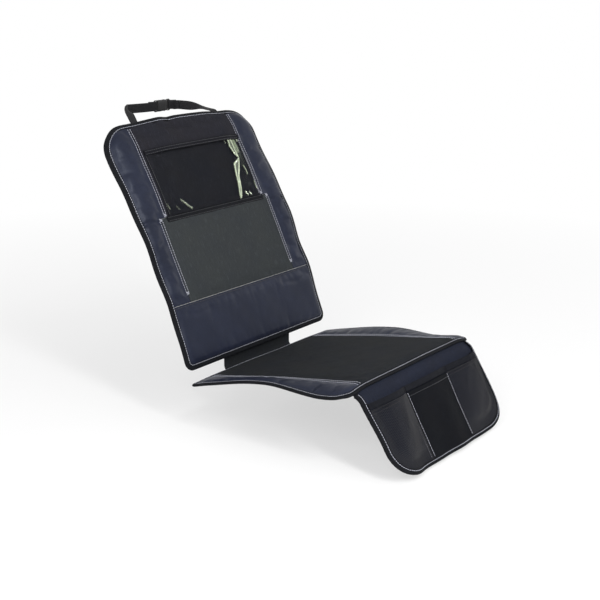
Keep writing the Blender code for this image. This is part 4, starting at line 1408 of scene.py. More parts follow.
@dataclass
class Section:
    """What both padded sections share: rounded corners, layers and a bound edge.

    Attributes:
        width: Its width.
        length: Its length.
        radii: Its corners' radii at its start and its end.
        seam: Where its side panels start.
        joint: The space between two panels.
        lip: How far the edge binding reaches in.
        stitch_inset: Where the binding is sewn.
        fold: What the binding's fold takes of its width.
        contour: What it is laid on.
        ground: The tops of its pieces.
    """

    width: float = 0.467
    length: float = 0.531
    radii: tuple[float, float] = (0.020, 0.062)
    seam: float = 0.172
    joint: float = 0.0010
    lip: float = 0.0130
    stitch_inset: float = 0.0105
    fold: float = 0.008
    contour: Contour = field(init=False)
    ground: Ground = field(default_factory=Ground)

    @property
    def corners(self) -> list[Corner]:
        """The outer corners."""
        return box_corners(self.width / 2, 0.0, self.length, self.radii)

    @staticmethod
    def fall(u: np.ndarray) -> np.ndarray:
        """How far the sides have fallen from the crown, as a share of its height."""
        share = np.clip((np.abs(u) - 0.156) / 0.0685, 0.0, 1.153)
        return np.where(share < 0.867, share**2, 1 - 3.03 * (1.153 - share) ** 2)

    def pinch(self, u: np.ndarray, v: np.ndarray) -> np.ndarray:
        """The edge is sewn thinner than the padding."""
        gap = rim_gap(u, v, self.width / 2, self.length, self.radii)
        return 1 - 0.45 * (1 - smooth(gap / 0.022))

    def pad(self, panel: Pad, finish: Finish, node: str, fill: float) -> None:
        """Builds a padded panel and hands it over.

        Args:
            panel: The panel.
            finish: Its finish.
            node: The CAD node that it stands for.
            fill: The share of it that is filling; not used.
        """
        piece = panel.build(self.contour, self.ground)
        hand_over(piece, finish, [node])

    def tape(
        self,
        name: str,
        node: str,
        finish: Finish,
        path: np.ndarray,
        section: np.ndarray,
        flat: tuple[float, float],
        over: str,
        held: Hold = Hold.FOLDED,
        closed: bool = False,
        lift: Field | None = None,
        wobble: float = 0.00025,
        sewn_on: bool = True,
    ) -> None:
        """Sweeps a tape, lays it and hands it over.

        Args:
            name: The piece's name.
            node: The CAD node that it stands for.
            finish: Its finish.
            path: Flat points of its edge.
            section: Its section's points, as (inset, height).
            flat: Its width and length before it is folded.
            over: The piece that it rests on; not used.
            held: How it is held.
            closed: Whether the edge is a loop.
            lift: An added height at each place.
            wobble: How uneven it is.
            sewn_on: Whether stitches lie on it.
        """
        piece = bind(name, path, closed, section, lift, wobble)
        if sewn_on:
            self.ground.add(piece)
        self.contour.lay(piece)
        hand_over_sheet(piece, finish, node, flat, held)

    def build_layers(self, name: str, lining: str, finish: Finish, seed: float, held: Hold) -> None:
        """Builds the lining, the foam and the edge binding.

        Args:
            name: What their nodes' names start with.
            lining: The lining's name.
            finish: The lining's finish.
            seed: Tells the lining's waves from another's.
            held: How the lining is held.
        """
        inner = inset(self.corners, LAYERS.inset)
        flat = (self.width - 2 * LAYERS.inset, self.length - 2 * LAYERS.inset)
        piece = flat_sheet(
            lining,
            inner,
            0.009,
            lambda u, v: LAYERS.lining + 0.0001 * ruffle(u, v, 0.04, seed),
            LAYERS.lining * 0.8,
            self.contour,
        )
        core = f"{name}_foam_core"
        hand_over_sheet(piece, finish, f"{name}_lining", flat, held)
        foam = flat_sheet(
            core,
            inner,
            0.012,
            lambda u, v: np.full_like(u, LAYERS.foam_low + LAYERS.foam * 0.96),
            LAYERS.foam * 0.9,
            self.contour,
        )
        hand_over(foam, FOAM, [f"{name}_foam"])
        path = rounded_path(self.corners, True)
        section = fold_section(-LAYERS.gap, LAYERS.cover_high + LAYERS.gap, self.lip, LAYERS.tape)
        size = (2 * self.lip + self.fold, len(path) * PATH_STEP)
        self.tape(
            f"{name}_edge_binding", f"{name}_binding", BINDING, path, section, size, lining, closed=True
        )


@dataclass
class BackSection(Section):
    """The padded back section with its tablet pocket."""

    foot: tuple[float, float] = (0.007, 0.028)
    recline: float = 20.0
    lumbar_height: float = 0.134
    lumbar_bend_length: float = 0.012
    lumbar_bend: float = 6.0
    shoulder_length: float = 0.060
    shoulder_bend: float = 26.0
    crown: float = 0.024
    upper_seam: float = 0.156
    pocket_foot: float = 0.316
    wing_bulge: float = 0.0105
    window_top: float = 0.464
    window_half: float = 0.148
    window_depth: float = 0.0090
    window_side: float = 0.0026
    film: float = 0.0005
    gusset_foot: float = 0.012
    gusset: float = 0.0010
    hem: float = 0.012
    hem_width: float = 0.029
    band: float = 0.012

    def __post_init__(self) -> None:
        """Makes the contour."""
        upper = self.length - self.lumbar_height - self.lumbar_bend_length - self.shoulder_length
        self.contour = Contour(
            self.foot,
            90 - self.recline,
            (
                (self.lumbar_height, 0.0),
                (self.lumbar_bend_length, -self.lumbar_bend),
                (upper, 0.0),
                (self.shoulder_length - LAYERS.lip, -self.shoulder_bend),
                (LAYERS.lip, 0.0),
            ),
            1,
            self.drop,
            self.sway,
            self.pinch,
        )

    def drop(self, u: np.ndarray, v: np.ndarray) -> np.ndarray:
        """How far the sides fall behind the middle."""
        shoulder = 0.006 * smooth((np.abs(u) - 0.07) / 0.09) * smooth((v - 0.36) / 0.12)
        raised = np.where(u < 0, 0.0085, 0.0115)
        edge = raised * smooth((np.abs(u) - 0.17) / 0.06) * smooth((v - 0.18) / 0.10)
        return self.crown * smooth((v - 0.10) / 0.40) * self.fall(u) + shoulder - edge

    def sway(self, u: np.ndarray, v: np.ndarray) -> np.ndarray:
        """The back's own gentle waves."""
        wave = 0.0008 * ruffle(u, v, 0.31, 0.4)
        top = smooth((v - 0.47) / 0.055)
        wave -= top * (0.0022 * bump((u + 0.034) / 0.013) - 0.0016 * bump((u + 0.062) / 0.016))
        wave += 0.0050 * smooth((v - 0.498) / 0.030) * (1 - 0.6 * smooth((u + 0.02) / 0.15))
        side = smooth((np.abs(u) - 0.19) / 0.04)
        return wave + side * 0.0008 * np.sin(v / 0.115 * 2 * math.pi + np.sign(u))

    def wing(self, side: int) -> Pad:
        """The padded side panel of one side, -1 for the left."""
        outer = self.width / 2 - LAYERS.inset
        top = self.length - LAYERS.inset
        foot = self.lumbar_height + self.joint / 2
        upper, lower = self.upper_seam + self.joint / 2, self.seam + self.joint / 2
        corners = [
            (side * lower, foot, 0),
            (side * outer, foot, 0),
            (side * outer, top, self.radii[1] - LAYERS.inset),
            (side * upper, top, 0),
            (side * upper, self.pocket_foot, 0),
            (side * lower, self.pocket_foot, 0),
        ]
        fold = 0.312 if side < 0 else 0.300
        folds = creases(
            side,
            (((0.180, fold - 0.003), (0.207, fold + 0.003), (0.222, fold)), 0.0026, 0.0045),
            (((0.195, fold - 0.014), (0.219, fold - 0.018)), 0.0010, 0.006),
            (((0.190, fold - 0.105), (0.221, fold - 0.098)), 0.0008, 0.008),
        )
        sewn_up, sewn_low = side * (self.upper_seam + SEAM_GAP), side * (self.seam + SEAM_GAP)
        seams = [
            line((sewn_up, self.pocket_foot + 0.004), (sewn_up, top)),
            line((sewn_low, foot), (sewn_low, self.pocket_foot - 0.004)),
        ]
        return Pad(
            "back_wing_pad_left" if side < 0 else "back_wing_pad_right",
            corners,
            self.wing_bulge,
            rise=0.022,
            spare=0.02,
            seams=seams,
            creases=folds,
            pitch=0.0050,
            seed=side * 1.7,
        )

    def build_covers(self) -> None:
        """Builds the five face panels."""
        for side, node in ((-1, "back_wing_left"), (1, "back_wing_right")):
            self.pad(self.wing(side), LEATHER, node, 0.7)
        edge = self.joint / 2
        top = self.length - LAYERS.inset
        upper, lower = self.upper_seam - edge, self.seam - edge
        folds = creases(
            1,
            (((-0.085, 0.520), (-0.066, 0.506), (-0.030, 0.500)), 0.0044, 0.0045),
            (((-0.048, 0.520), (-0.020, 0.503), (0.010, 0.497)), 0.0044, 0.0045),
            (((-0.145, 0.498), (-0.11, 0.490), (-0.07, 0.494)), 0.0034, 0.005),
            (((0.03, 0.510), (0.07, 0.500), (0.12, 0.507)), 0.0032, 0.005),
            (((-0.13, 0.47), (-0.10, 0.41), (-0.112, 0.35)), 0.0020, 0.007),
            (((0.10, 0.49), (0.118, 0.44), (0.11, 0.38)), 0.0018, 0.007),
            (((-0.05, 0.474), (0.02, 0.482), (0.08, 0.474)), 0.0018, 0.007),
        )
        panel = Pad(
            "back_upper_cloth",
            box_corners(upper, self.pocket_foot + edge, top),
            0.0048,
            seams=on_both_sides(self.upper_seam - SEAM_GAP, self.pocket_foot, top),
            creases=folds,
            spare=0.008,
            seed=3.1,
        )
        self.pad(panel, UPPER_CLOTH, "back_upper_panel", 0.3)
        low, high = self.lumbar_height + edge, self.pocket_foot - edge
        panel = Pad(
            "back_lower_cloth",
            box_corners(lower, low, high),
            0.0034,
            seams=on_both_sides(self.seam - SEAM_GAP, low, high),
            spare=0.008,
            seed=4.4,
        )
        self.pad(panel, LOWER_CLOTH, "back_lower_panel", 0.4)
        outer = self.width / 2 - LAYERS.inset
        foot_top = self.lumbar_height - edge
        radius = self.radii[0] - LAYERS.inset
        patch = Pad(
            "back_foot_cover",
            box_corners(outer, LAYERS.inset, foot_top, (radius, 0.0)),
            0.0042,
            rise=0.020,
            creases=creases(
                1,
                (((-0.21, 0.118), (-0.16, 0.108), (-0.12, 0.112)), 0.0010, 0.006),
                (((0.12, 0.114), (0.17, 0.106), (0.21, 0.116)), 0.0010, 0.006),
            ),
            seed=5.3,
        )
        self.pad(patch, LEATHER, "back_foot_patch", 0.5)

    def crinkle_and_highlight(self, u: np.ndarray, v: np.ndarray) -> np.ndarray:
        """How creased the film is at each place, from 0 to 1. The same mask raises the film's ridges and
        marks where its highlight is painted.
        """
        # Leaf-shaped creases, whose faces carry the painted highlight.
        leaves = (
            (
                (0.4075, 0.4186, 0.4370, 0.4575, 0.4640),
                (0.1180, 0.1040, 0.0974, 0.1007, 0.1080),
                (0.1185, 0.1165, 0.1148, 0.1144, 0.1085),
            ),
            (
                (0.3175, 0.3320, 0.3566, 0.3665, 0.3970, 0.4090),
                (0.0800, 0.0795, 0.0830, 0.0848, 0.0918, 0.1175),
                (0.0850, 0.0894, 0.0925, 0.0948, 0.1128, 0.1190),
            ),
        )
        found = np.zeros_like(u)
        for stops, left, right in leaves:
            inside = np.minimum(u - np.interp(v, stops, left), np.interp(v, stops, right) - u)
            inside = np.where((v < stops[0]) | (v > stops[-1]), -1.0, inside)
            flat = 1 - 0.6 * smooth((inside - 0.0022) / 0.0030)
            found = np.maximum(found, smooth((inside + 0.0008) / 0.0016) * flat)
        # Short creases that carry painted glints.
        lines = (
            (((0.137, 0.4600), (0.141, 0.4480)), 0.0022, 1.0),
            (((0.0860, 0.4560), (0.0905, 0.4440)), 0.0016, 0.5),
            (((0.1240, 0.3880), (0.1290, 0.3750), (0.1275, 0.3690)), 0.0018, 0.8),
            (((0.1440, 0.3500), (0.1425, 0.3420), (0.1442, 0.3320)), 0.0020, 0.7),
            (((0.1000, 0.3300), (0.1085, 0.3210)), 0.0016, 0.8),
            (((0.1130, 0.3290), (0.1190, 0.3200)), 0.0014, 0.6),
            (((-0.1040, 0.3440), (-0.0880, 0.3300), (-0.0760, 0.3220)), 0.0018, 0.8),
            (((-0.1430, 0.3420), (-0.1390, 0.3300)), 0.0018, 0.5),
            (((-0.1200, 0.3330), (-0.1120, 0.3240)), 0.0014, 0.5),
        )
        for spots, width, depth in lines:
            gap = distance(u, v, chain(line(*spots)))
            found = np.maximum(found, depth * np.clip(1.2 - gap / width, 0.0, 1.0))
        return found

    def film_height(self, u: np.ndarray, v: np.ndarray) -> np.ndarray:
        """The crinkled film's height."""
        side = self.window_half - np.abs(u)
        foot = v - self.pocket_foot - 0.001
        edge = np.minimum.reduce([side, foot, self.window_top - 0.010 - v])
        rise = smooth(side / 0.050) * smooth((foot + 0.004) / 0.045)
        height = LAYERS.cover_high + LAYERS.gap + self.window_side + self.film
        height = height + (self.window_depth - self.window_side) * rise
        height = height + 0.0010 * ruffle(u, v, 0.13, 1.0) * smooth(edge / 0.02)
        return height + 0.0014 * self.crinkle_and_highlight(u, v) * smooth(edge / 0.006)

    def build_pocket(self) -> None:
        """Builds the clear window, its gussets, its hem and the band along its foot."""
        floor = LAYERS.cover_high + LAYERS.gap
        foot = self.pocket_foot + self.joint
        top = self.window_top - LAYERS.tape - LAYERS.gap
        self.build_film(foot, top)
        self.build_gussets(floor, foot, top - self.hem)
        self.build_band(floor, foot)
        self.build_window_hem(top)

    def build_film(self, foot: float, top: float) -> None:
        """Builds the clear film from the pocket's foot to its top."""
        half = self.window_half
        film = flat_sheet(
            "window_clear_film",
            box_corners(half, foot, top),
            0.0020,
            self.film_height,
            self.film,
            self.contour,
            self.ground,
        )
        places = film.data.uv_layers["flat"].data
        values = np.empty(len(places) * 2, dtype=np.float32)
        places.foreach_get("uv", values)
        u, v = values.reshape(-1, 2).T.astype(float)
        # Stores the crease mask, along which the film's highlight is painted.
        crease_highlight = film.data.attributes.new("crease_highlight", "FLOAT", "CORNER")
        crease_highlight.data.foreach_set("value", self.crinkle_and_highlight(u, v).astype(np.float32))
        size = (2 * half, top - foot)
        hand_over_sheet(film, FILM, "window_film", size, Hold.STRETCHED)

    def build_gussets(self, floor: float, foot: float, side_top: float) -> None:
        """Builds the cloth walls that give the window its room.

        Args:
            floor: The height of what they stand on.
            foot: Where the pocket starts.
            side_top: Where the side walls end.
        """
        wall_top = floor + self.window_side - LAYERS.gap
        inner = floor + self.gusset
        section = np.array(
            [
                (self.gusset_foot, floor),
                (0.004, floor),
                (0.0, floor + 0.0004),
                (-0.0003, (floor + wall_top) / 2),
                (0.0, wall_top),
                (self.gusset, wall_top),
                (self.gusset - 0.0002, (inner + wall_top) / 2),
                (self.gusset, inner + 0.0002),
                (0.004, inner),
                (self.gusset_foot, inner),
            ]
        )
        wall = self.window_half - self.gusset
        inside = wall - self.gusset_foot - LAYERS.gap
        runs = {
            "left": [(-wall, side_top), (-wall, foot)],
            "right": [(wall, foot), (wall, side_top)],
            "foot": [(-inside, foot + LAYERS.gap), (inside, foot + LAYERS.gap)],
        }
        for node, ends in runs.items():
            self.tape(
                f"window_gusset_{node}_cloth",
                f"window_gusset_{node}",
                UPPER_CLOTH,
                line(*ends, step=PATH_STEP),
                section,
                (self.gusset_foot + self.window_side, float(np.linalg.norm(np.subtract(*ends)))),
                "back_upper_cloth",
                wobble=0.0,
                sewn_on=False,
            )

    def build_band(self, floor: float, foot: float) -> None:
        """Builds the tape along the pocket's foot, on the height of its floor."""
        band_foot = foot - LAYERS.gap - self.band
        reach = self.upper_seam - self.joint
        low, high, middle = floor, floor + LAYERS.tape * 1.3, self.band / 2
        section = np.array(
            [(0.0, low), (0.0, high - 0.0004), (0.0006, high), (middle, high + 0.0003)]
            + [(self.band - 0.0006, high), (self.band, high - 0.0004), (self.band, low), (middle, low)]
        )
        path = line((-reach, band_foot), (reach, band_foot), step=PATH_STEP)
        self.tape(
            "window_foot_tape",
            "window_foot_band",
            BINDING,
            path,
            section,
            (self.band, 2 * reach),
            "back_upper_cloth",
            Hold.STRETCHED,
            wobble=0.0001,
        )

    def build_window_hem(self, top: float) -> None:
        """Builds the folded tape over the top edge of the film."""
        half = self.window_half
        section = fold_section(-self.film - LAYERS.gap, LAYERS.gap, self.hem, LAYERS.tape * 0.7)
        path = line((half, self.window_top), (-half, self.window_top), step=PATH_STEP)
        self.tape(
            "window_top_hem",
            "window_hem",
            HEM,
            path,
            section,
            (self.hem_width, 2 * half),
            "window_clear_film",
            lift=lambda u, v: self.film_height(u, np.minimum(v, top - 0.011)),
        )

    def sew(self) -> None:
        """Sews the visible seams."""
        hand = Seamstress(self.contour, self.ground)
        edge = rounded_path(inset(self.corners, self.stitch_inset), True, 0.002)
        hand.sew("back_edge_stitches", [np.concatenate([edge, edge[:1]])])
        top = self.length - self.lip - 0.0010
        pale, dark = [], []
        for side in (-1, 1):
            for offset in (0.0032, -0.0032):
                upper = side * (self.upper_seam + offset)
                lower = side * (self.seam + offset)
                pale.append(line((upper, self.pocket_foot + 0.008), (upper, top)))
                pale.append(line((lower, self.lumbar_height + 0.020), (lower, self.pocket_foot - 0.006)))
            pale += tack(side * self.seam, self.pocket_foot - 0.003, 0.010)
            pale += tack(side * self.seam, self.lumbar_height + 0.019, 0.009)
            pale += tack(side * self.upper_seam, self.pocket_foot + 0.005, 0.009)
            film_side = side * (self.window_half - 0.0022)
            (pale if side > 0 else dark).append(
                line((film_side, self.pocket_foot + 0.004), (film_side, self.window_top - 0.013))
            )
        hand.sew("back_seam_stitches", pale)
        half = self.upper_seam - 0.004
        for v in (self.pocket_foot - 0.0090, self.pocket_foot - 0.0015):
            dark.append(line((-half, v), (half, v)))
        for v in (self.window_top - 0.0095, self.window_top - 0.0035):
            dark.append(line((-self.window_half + 0.003, v), (self.window_half - 0.003, v)))
        outer = self.width / 2 - self.lip - 0.001
        dark.append(line((-outer, self.lumbar_height - 0.0045), (outer, self.lumbar_height - 0.0045)))
        hand.sew("back_dark_stitches", dark, DARK_THREAD)

    def build(self) -> None:
        """Builds the whole back section."""
        self.build_layers("back", "back_lining_cloth", LINING, 0.3, Hold.STRETCHED)
        self.build_covers()
        self.build_pocket()
        self.sew()


@dataclass
class SeatSection(Section):
    """The padded seat section and its front flap with three pockets."""

    length: float = 0.395
    radii: tuple[float, float] = (0.014, 0.034)
    lip: float = LAYERS.lip
    stitch_inset: float = 0.0070
    rise: float = 10.5
    nose_lead: float = 0.023
    nose_length: float = 0.050
    nose_bend: float = 70.0
    crown: float = 0.012
    flap_half: float = 0.205
    flap_underlap: float = 0.023
    flap_length: float = 0.190
    flap_radius: float = 0.066
    flap_sheet: float = 0.0010
    hem_drop: float = 0.043
    hem: float = 0.012
    tape_width: float = 0.027
    divider: float = 0.075
    divider_gap: float = 0.0010
    pocket_sheet: float = 0.0010
    net_belly: float = 0.024
    middle_belly: float = 0.012
    strand: float = 0.00090
    mesh_pitch: float = 0.0034

    def __post_init__(self) -> None:
        """Makes the contour."""
        before = self.nose_lead - LAYERS.lip
        after = self.nose_length - self.nose_lead
        turn = self.nose_bend / (before + after)
        straight = self.length - self.nose_lead
        self.contour = Contour(
            (0.0, 0.0),
            180 - self.rise,
            (
                (straight, 0.0),
                (before, turn * before),
                (LAYERS.lip, 0.0),
                (after, turn * after),
                (self.flap_end - straight - self.nose_length, 0.0),
            ),
            -1,
            self.drop,
            self.sway,
            self.pinch,
        )

    @property
    def flap_end(self) -> float:
        """Where the flap ends."""
        return self.length + self.flap_length

    @property
    def pocket_hem(self) -> float:
        """Where the pockets start."""
        return self.length + self.hem_drop

    def drop(self, u: np.ndarray, v: np.ndarray) -> np.ndarray:
        """How far the sides fall below the middle."""
        return self.crown * smooth((v - 0.20) / 0.13) * self.fall(u)

    def sway(self, u: np.ndarray, v: np.ndarray) -> np.ndarray:
        """The seat's own waves, and a droop of its edges near the front."""
        wave = 0.0011 * ruffle(u, v, 0.33, 2.0)
        side = smooth((np.abs(u) - 0.15) / 0.085)
        wave -= side * 0.0024 * bump((v - 0.345) / 0.035) * np.where(u < 0, 1.0, 0.6)
        wave += side * 0.0105 * bump((v - 0.165) / 0.105) * np.where(u < 0, 1.0, 0.7)
        wave -= side * 0.0026 * bump(v / 0.030)
        hang = smooth((v - self.length - 0.02) / 0.10)
        turns = u * 2 * math.pi
        wave += hang * (0.0030 * np.sin(turns / 0.19 + 0.8) + 0.0020 * np.sin(turns / 0.083))
        return wave + hang * 0.0075 * smooth((-u - 0.09) / 0.11)

    def pinch(self, u: np.ndarray, v: np.ndarray) -> np.ndarray:
        """The edge is sewn thinner than the padding, and the flap is not."""
        return np.where(v < self.length, super().pinch(u, v), 1.0)

    @property
    def flap_corners(self) -> list[Corner]:
        """The flap's outer corners."""
        start = self.length - self.flap_underlap
        return box_corners(self.flap_half, start, self.flap_end, (0.0, self.flap_radius))

    def build_covers(self) -> None:
        """Builds the two side panels and the middle panel."""
        front = self.length - LAYERS.inset
        outer = self.width / 2 - LAYERS.inset
        inner = self.seam + self.joint / 2
        for side, node in ((-1, "seat_side_left"), (1, "seat_side_right")):
            corners = [
                (side * inner, LAYERS.inset, 0),
                (side * outer, LAYERS.inset, self.radii[0] - LAYERS.inset),
                (side * outer, front, self.radii[1] - LAYERS.inset),
                (side * inner, front, 0),
            ]
            sewn = side * (self.seam + SEAM_GAP)
            folds = creases(
                side,
                (((0.18, 0.315), (0.223, 0.300)), 0.0012, 0.006),
                (((0.185, 0.215), (0.222, 0.226)), 0.0010, 0.007),
                (((0.18, 0.10), (0.222, 0.085)), 0.0012, 0.006),
            )
            panel = Pad(
                f"{node}_pad",
                corners,
                0.0048,
                rise=0.016,
                seams=[line((sewn, 0.0), (sewn, front))],
                creases=folds,
                pitch=0.0050,
                seed=side * 2.3,
            )
            self.pad(panel, LEATHER, node, 0.6)
        reach = self.seam - self.joint / 2
        panel = Pad(
            "seat_middle_cloth",
            box_corners(reach, LAYERS.inset, front),
            0.0040,
            rise=0.020,
            seams=on_both_sides(self.seam - SEAM_GAP, 0.0, front),
            pitch=0.0070,
            seed=6.1,
        )
        self.pad(panel, SEAT_CLOTH, "seat_middle_panel", 0.4)

    def belly(self, low: float, high: float, reach: float) -> Field:
        """How far a pocket's wall stands off the flap.

        Args:
            low: Where the pocket starts across.
            high: Where it ends across.
            reach: How far it stands off at its hem's middle.

        Returns:
            The height at flat places.
        """
        path = rounded_path(self.flap_corners, True, 0.006)
        rim = chain(np.concatenate([path, path[:1]]))
        foot = self.flap_end - LAYERS.lip

        def height(u: np.ndarray, v: np.ndarray) -> np.ndarray:
            across = np.clip((u - low) / (high - low), 0.0, 1.0)
            along = np.clip((v - self.pocket_hem) / (foot - self.pocket_hem), 0.0, 1.0)
            clear = smooth((distance(u, v, rim) - LAYERS.lip - 0.012) / 0.020)
            wrinkles = 1 + 0.05 * ruffle(u, v, 0.05, low * 30)
            return reach * clear * wrinkles * np.sin(math.pi * across) * np.cos(math.pi / 2 * along)

        return height

    def flap_path(self, half: float, start: float, inside: float, step: float = PATH_STEP) -> np.ndarray:
        """Flat points along the flap's three free edges, or inside them."""
        end, radius = self.flap_end - inside, self.flap_radius - inside
        corners = [(half, start, 0.0), (half, end, radius), (-half, end, radius), (-half, start, 0.0)]
        return rounded_path(corners, False, step)

    def build_flap(self) -> None:
        """Builds the flap's panel, its binding and its pockets."""
        high = LAYERS.under_high
        low = high - self.flap_sheet
        start = self.length - self.flap_underlap
        size = (self.flap_half * 2 - 2 * LAYERS.inset, self.flap_end - start - 2 * LAYERS.inset)
        flap = flat_sheet(
            "flap_cloth",
            inset(self.flap_corners, LAYERS.inset),
            0.005,
            lambda u, v: high + 0.0001 * ruffle(u, v, 0.03, 7.0),
            self.flap_sheet,
            self.contour,
            self.ground,
        )
        hand_over_sheet(flap, FLAP_CLOTH, "flap_panel", size, Hold.HUNG)
        pocket_low = high + LAYERS.gap + LAYERS.tape + LAYERS.gap
        pocket_high = pocket_low + self.pocket_sheet
        section = fold_section(low - LAYERS.gap, pocket_high + LAYERS.gap, LAYERS.lip, LAYERS.tape)
        edge = self.length + LAYERS.gap * 2
        path = self.flap_path(self.flap_half, edge, 0.0)
        size = (self.tape_width, len(path) * PATH_STEP)
        self.tape("flap_edge_binding", "flap_binding", BINDING, path, section, size, "flap_cloth")
        self.build_pockets(pocket_low)

    def build_pockets(self, pocket_low: float) -> None:
        """Builds the two net pockets and the middle one, on the height of their sewn edges."""
        outer = self.flap_half - LAYERS.inset
        foot = self.flap_end - LAYERS.inset
        wall_top = self.pocket_hem + LAYERS.tape + LAYERS.gap
        inner = self.divider + self.divider_gap / 2
        for side, node in ((-1, "left"), (1, "right")):
            low_u, high_u = sorted((side * inner, side * outer))
            swell = self.belly(low_u, high_u, self.net_belly)
            corners = [
                (side * inner, wall_top, 0),
                (side * outer, wall_top, 0),
                (side * outer, foot, self.flap_radius - LAYERS.inset),
                (side * inner, foot, 0),
            ]
            net = self.net(f"net_{node}", corners, pocket_low, swell)
            size = (outer - inner, foot - wall_top)
            hand_over_sheet(net, MESH, f"net_pocket_{node}", size, Hold.GATHERED)
            ends = (high_u - LAYERS.lip, low_u) if side > 0 else (high_u, low_u + LAYERS.lip)
            self.build_hem(f"net_hem_{node}", f"net_pocket_hem_{node}", ends, pocket_low, swell)
        reach = self.divider - self.divider_gap / 2
        swell = self.belly(-reach, reach, self.middle_belly)
        pocket = flat_sheet(
            "middle_pocket_cloth",
            box_corners(reach, wall_top, foot),
            0.004,
            lambda u, v: pocket_low + self.pocket_sheet + swell(u, v),
            self.pocket_sheet,
            self.contour,
            self.ground,
        )
        size = (2 * reach, foot - wall_top)
        hand_over_sheet(pocket, POCKET_CLOTH, "middle_pocket", size, Hold.GATHERED)
        self.build_hem("middle_hem", "middle_pocket_hem", (reach, -reach), pocket_low, swell)

    def net(self, name: str, corners: Sequence[Corner], low: float, swell: Field) -> bpy.types.Object:
        """Knots a pocket's net.

        Args:
            name: The piece's name.
            corners: Its corners.
            low: The height of its sewn edges.
            swell: Its belly.

        Returns:
            The net, laid on the flap.
        """
        piece = cut_out(name, corners, self.mesh_pitch)
        with editing(piece) as shape:
            old = {v.index for v in shape.verts}
            bpy.ops.mesh.poke()
            shape = bmesh.from_edit_mesh(piece.data)
            bpy.ops.mesh.select_all(action="DESELECT")
            bpy.ops.mesh.select_mode(type="EDGE")
            shape.verts.index_update()
            for edge in shape.edges:
                inside = len(edge.link_faces) == 2
                edge.select = inside and all(v.index in old for v in edge.verts)
            bpy.ops.mesh.dissolve_edges(use_verts=False)
        points = points_of(piece)
        points[:, 2] = low + self.pocket_sheet / 2 + swell(points[:, 0], points[:, 1])
        put_points(piece, points)
        finish_with(piece, "WIREFRAME", thickness=self.strand, use_even_offset=False, use_boundary=True)
        flat_map(piece)
        self.contour.lay(piece)
        return piece

    def build_hem(self, name: str, node: str, ends: Spot, low: float, swell: Field) -> None:
        """Folds an elastic hem over a pocket's top edge.

        Args:
            name: The piece's name.
            node: The CAD node that it stands for.
            ends: Where it starts and ends across.
            low: The height of the pocket's lower face.
            swell: The pocket's belly.
        """
        high = low + self.pocket_sheet + LAYERS.gap
        section = fold_section(low - LAYERS.gap, high, self.hem, LAYERS.tape * 0.9)
        path = line((ends[0], self.pocket_hem), (ends[1], self.pocket_hem), step=0.0025)
        size = (self.tape_width, abs(ends[0] - ends[1]))
        self.tape(name, node, ELASTIC, path, section, size, "flap_cloth", lift=swell, wobble=0.0002)

    def sew(self) -> None:
        """Sews the visible seams."""
        hand = Seamstress(self.contour, self.ground)
        edge = rounded_path(inset(self.corners, self.stitch_inset), True, 0.002)
        lines = [np.concatenate([edge, edge[:1]])]
        for side in (-1, 1):
            for offset in (0.0038, -0.0038):
                u = side * (self.seam + offset)
                lines.append(line((u, STITCH_END), (u, self.length - STITCH_END)))
        hand.sew("seat_stitches", lines)
        reach = self.flap_half - self.stitch_inset
        lines = [self.flap_path(reach, self.length + 0.004, self.stitch_inset, 0.002)]
        for side in (-1, 1):
            for u in (side * (self.divider - 0.0028), side * (self.divider + 0.0028)):
                lines.append(line((u, self.pocket_hem + 0.003), (u, self.flap_end - 0.0118)))
        hand.sew("flap_stitches", lines)
        dark = []
        inner, outer = self.divider + 0.002, self.flap_half - LAYERS.lip - 0.002
        upper, lower = self.pocket_hem + 0.0040, self.pocket_hem + 0.0098
        for v in (upper, lower):
            dark.append(line((inner, v), (outer, v)))
            dark.append(line((-outer, v), (-inner, v)))
        reach = inner - 0.004
        dark.append(line((-reach, lower), (reach, lower)))
        hand.sew("pocket_hem_stitches", dark, DARK_THREAD)

    def build(self) -> None:
        """Builds the whole seat section and its flap."""
        self.build_layers("seat", "seat_grip_lining", GRIP, 0.9, Hold.LAID)
        self.build_covers()
        self.build_flap()
        self.sew()


@dataclass
class Neck:
    """The strip through the crease that joins the two sections."""

    back: BackSection
    seat: SeatSection
    width: float = 0.220
    sheet: float = 0.0016
    overlap: float = 0.032
    radius: float = 0.012
    bend: float = 0.004

    def build(self) -> None:
        """Builds the strip on its own contour."""
        outer = LAYERS.under_high - self.sheet
        start, rear = self.seat.contour.place(np.array([(0.0, self.overlap, outer), (0.0, 0.0, outer)]))
        foot = self.back.contour.place(np.array([(0.0, 0.0, outer)]))[0]
        recline, rise = math.radians(self.back.recline), math.radians(self.seat.rise)
        turn = 90.0 + self.seat.rise
        upright_y = rear[1] + self.radius * (1 + math.sin(rise))
        upright_foot = rear[2] + self.radius * math.cos(rise)
        meet = foot[2] + (upright_y - foot[1]) / math.tan(recline)
        legs = (
            (self.overlap, 0.0),
            (self.radius * math.radians(turn), turn),
            (meet - upright_foot - self.bend, 0.0),
            (self.bend * 2, -self.back.recline),
            (self.overlap, 0.0),
        )
        contour = Contour((start[1], start[2]), -self.seat.rise, legs, 1)
        length = sum(leg[0] for leg in legs)
        half = self.width / 2
        strip = flat_sheet(
            "neck_cloth",
            box_corners(half, 0.0, length),
            0.004,
            lambda u, v: self.sheet + 0.0002 * ruffle(u, v, 0.04, 1.3),
            self.sheet,
            contour,
        )
        hand_over_sheet(strip, SEAT_CLOTH, "neck_strip", (self.width, length), Hold.FOLDED)


